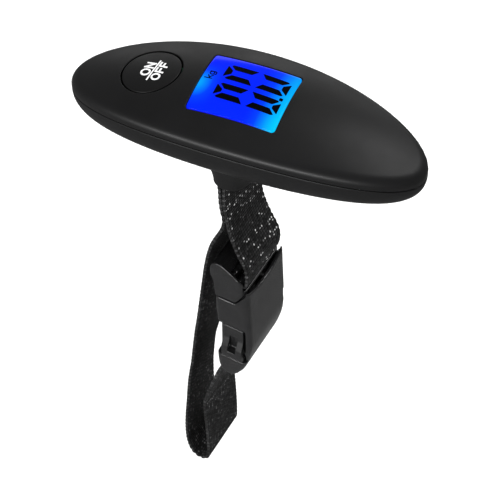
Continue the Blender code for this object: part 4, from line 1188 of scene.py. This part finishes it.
studio = {
    "floorDrop": 38.0,  # under the loop's lowest point
    "camera": {
        "azimuth": 22.63, "elevation": 50.26, "roll": -0.66, "distance": 651.5, "lens": 124.5,
        "aim": (1.0, 0.0, -66.4),
    },
    "world": 0.22,
    "lights": (  # name, place and size in metres, and power; each one faces the middle
        ("keySoftbox", (0.75, 0.85, 1.25), (0.9, 0.9), 12),
        ("backStrip", (-0.35, 1.4, 0.32), (1.6, 0.35), 3.5),
        ("frontStrip", (-0.2, -1.3, 0.1), (1.7, 0.2), 30),
        ("floorLight", (0, 0, 2.2), (2.0, 2.0), 55),
    ),
}


def makeCamera():
    place = studio["camera"]
    a, e, roll = (math.radians(place[k]) for k in ("azimuth", "elevation", "roll"))
    back = Vector((math.sin(a) * math.cos(e), -math.cos(a) * math.cos(e), math.sin(e)))
    level = Vector((math.cos(a), math.sin(a), 0))
    right = level * math.cos(roll) + back.cross(level) * math.sin(roll)
    turn = Matrix((right, back.cross(right), back)).transposed()
    camera = bpy.data.objects.new("camera", bpy.data.cameras.new("camera"))
    camera.data.lens = place["lens"]
    camera.data.clip_start, camera.data.clip_end = 0.05, 20
    camera.matrix_world = Matrix.Translation((Vector(place["aim"]) + back * place["distance"]) * mm) @ turn.to_4x4()
    bpy.context.scene.collection.objects.link(camera)
    bpy.context.scene.camera = camera


def makeFloor():
    floorZ = cadLow.z - studio["floorDrop"] * mm
    grid = np.stack(np.meshgrid(np.linspace(-3000, 3000, 13), np.linspace(-3000, 3000, 13), indexing="ij"), -1)
    grid = np.concatenate([grid, np.full((13, 13, 1), floorZ / mm)], -1)
    floor = surface("floor", [(grid, False, False)])
    made, tree, shader, place = blank("paleFloor")
    grain = useGroup(tree, grainEffect, Vector=place["Object"], Grain=900.0, Patch=3.0)
    tone = blendColours(tree, grain["Polish"], (0.93, 0.93, 0.93, 1), (0.95, 0.95, 0.95, 1))
    setShader(tree, shader, {"Base Color": tone, "Roughness": 0.9, "Specular IOR Level": 0.1})
    floor.data.materials.append(made)
    floor.visible_glossy = False


def softbox(name, place, size, power):
    light = bpy.data.lights.new(name, "AREA")
    light.shape = "RECTANGLE"
    light.size, light.size_y = size
    light.energy = power
    made = bpy.data.objects.new(name, light)
    made.location = place
    made.rotation_mode = "QUATERNION"
    made.rotation_quaternion = (Vector((0, 0, 0)) - Vector(place)).to_track_quat("-Z", "Y")
    made.visible_glossy = name != "floorLight"  # the floor's own light makes no highlight
    bpy.context.scene.collection.objects.link(made)


def makeLight():
    world = bpy.data.worlds.new("studioWorld")
    world.use_nodes = True
    sky = world.node_tree.nodes["Background"].inputs
    sky["Color"].default_value, sky["Strength"].default_value = (1, 1, 1, 1), studio["world"]
    bpy.context.scene.world = world
    bpy.context.scene.view_settings.view_transform = "Standard"
    for light in studio["lights"]:
        softbox(*light)


makeTopHousing()
makeBottomHousing()
makeBatteryCover()
print("housings")
makeDisplayWindow()
makePowerButton()
makeButtonLabel()
makeDigits()
print("display and button")
makeWebbing()
makeBuckleSocket()
makeBucklePlug()
makeLatchArm("latchArmNear", "latch_arm_near", "near_arm", -1)
makeLatchArm("latchArmFar", "latch_arm_far", "far_arm", 1)
print("strap and buckle")
dressCarried()
makeCamera()
makeFloor()
makeLight()
print("studio")
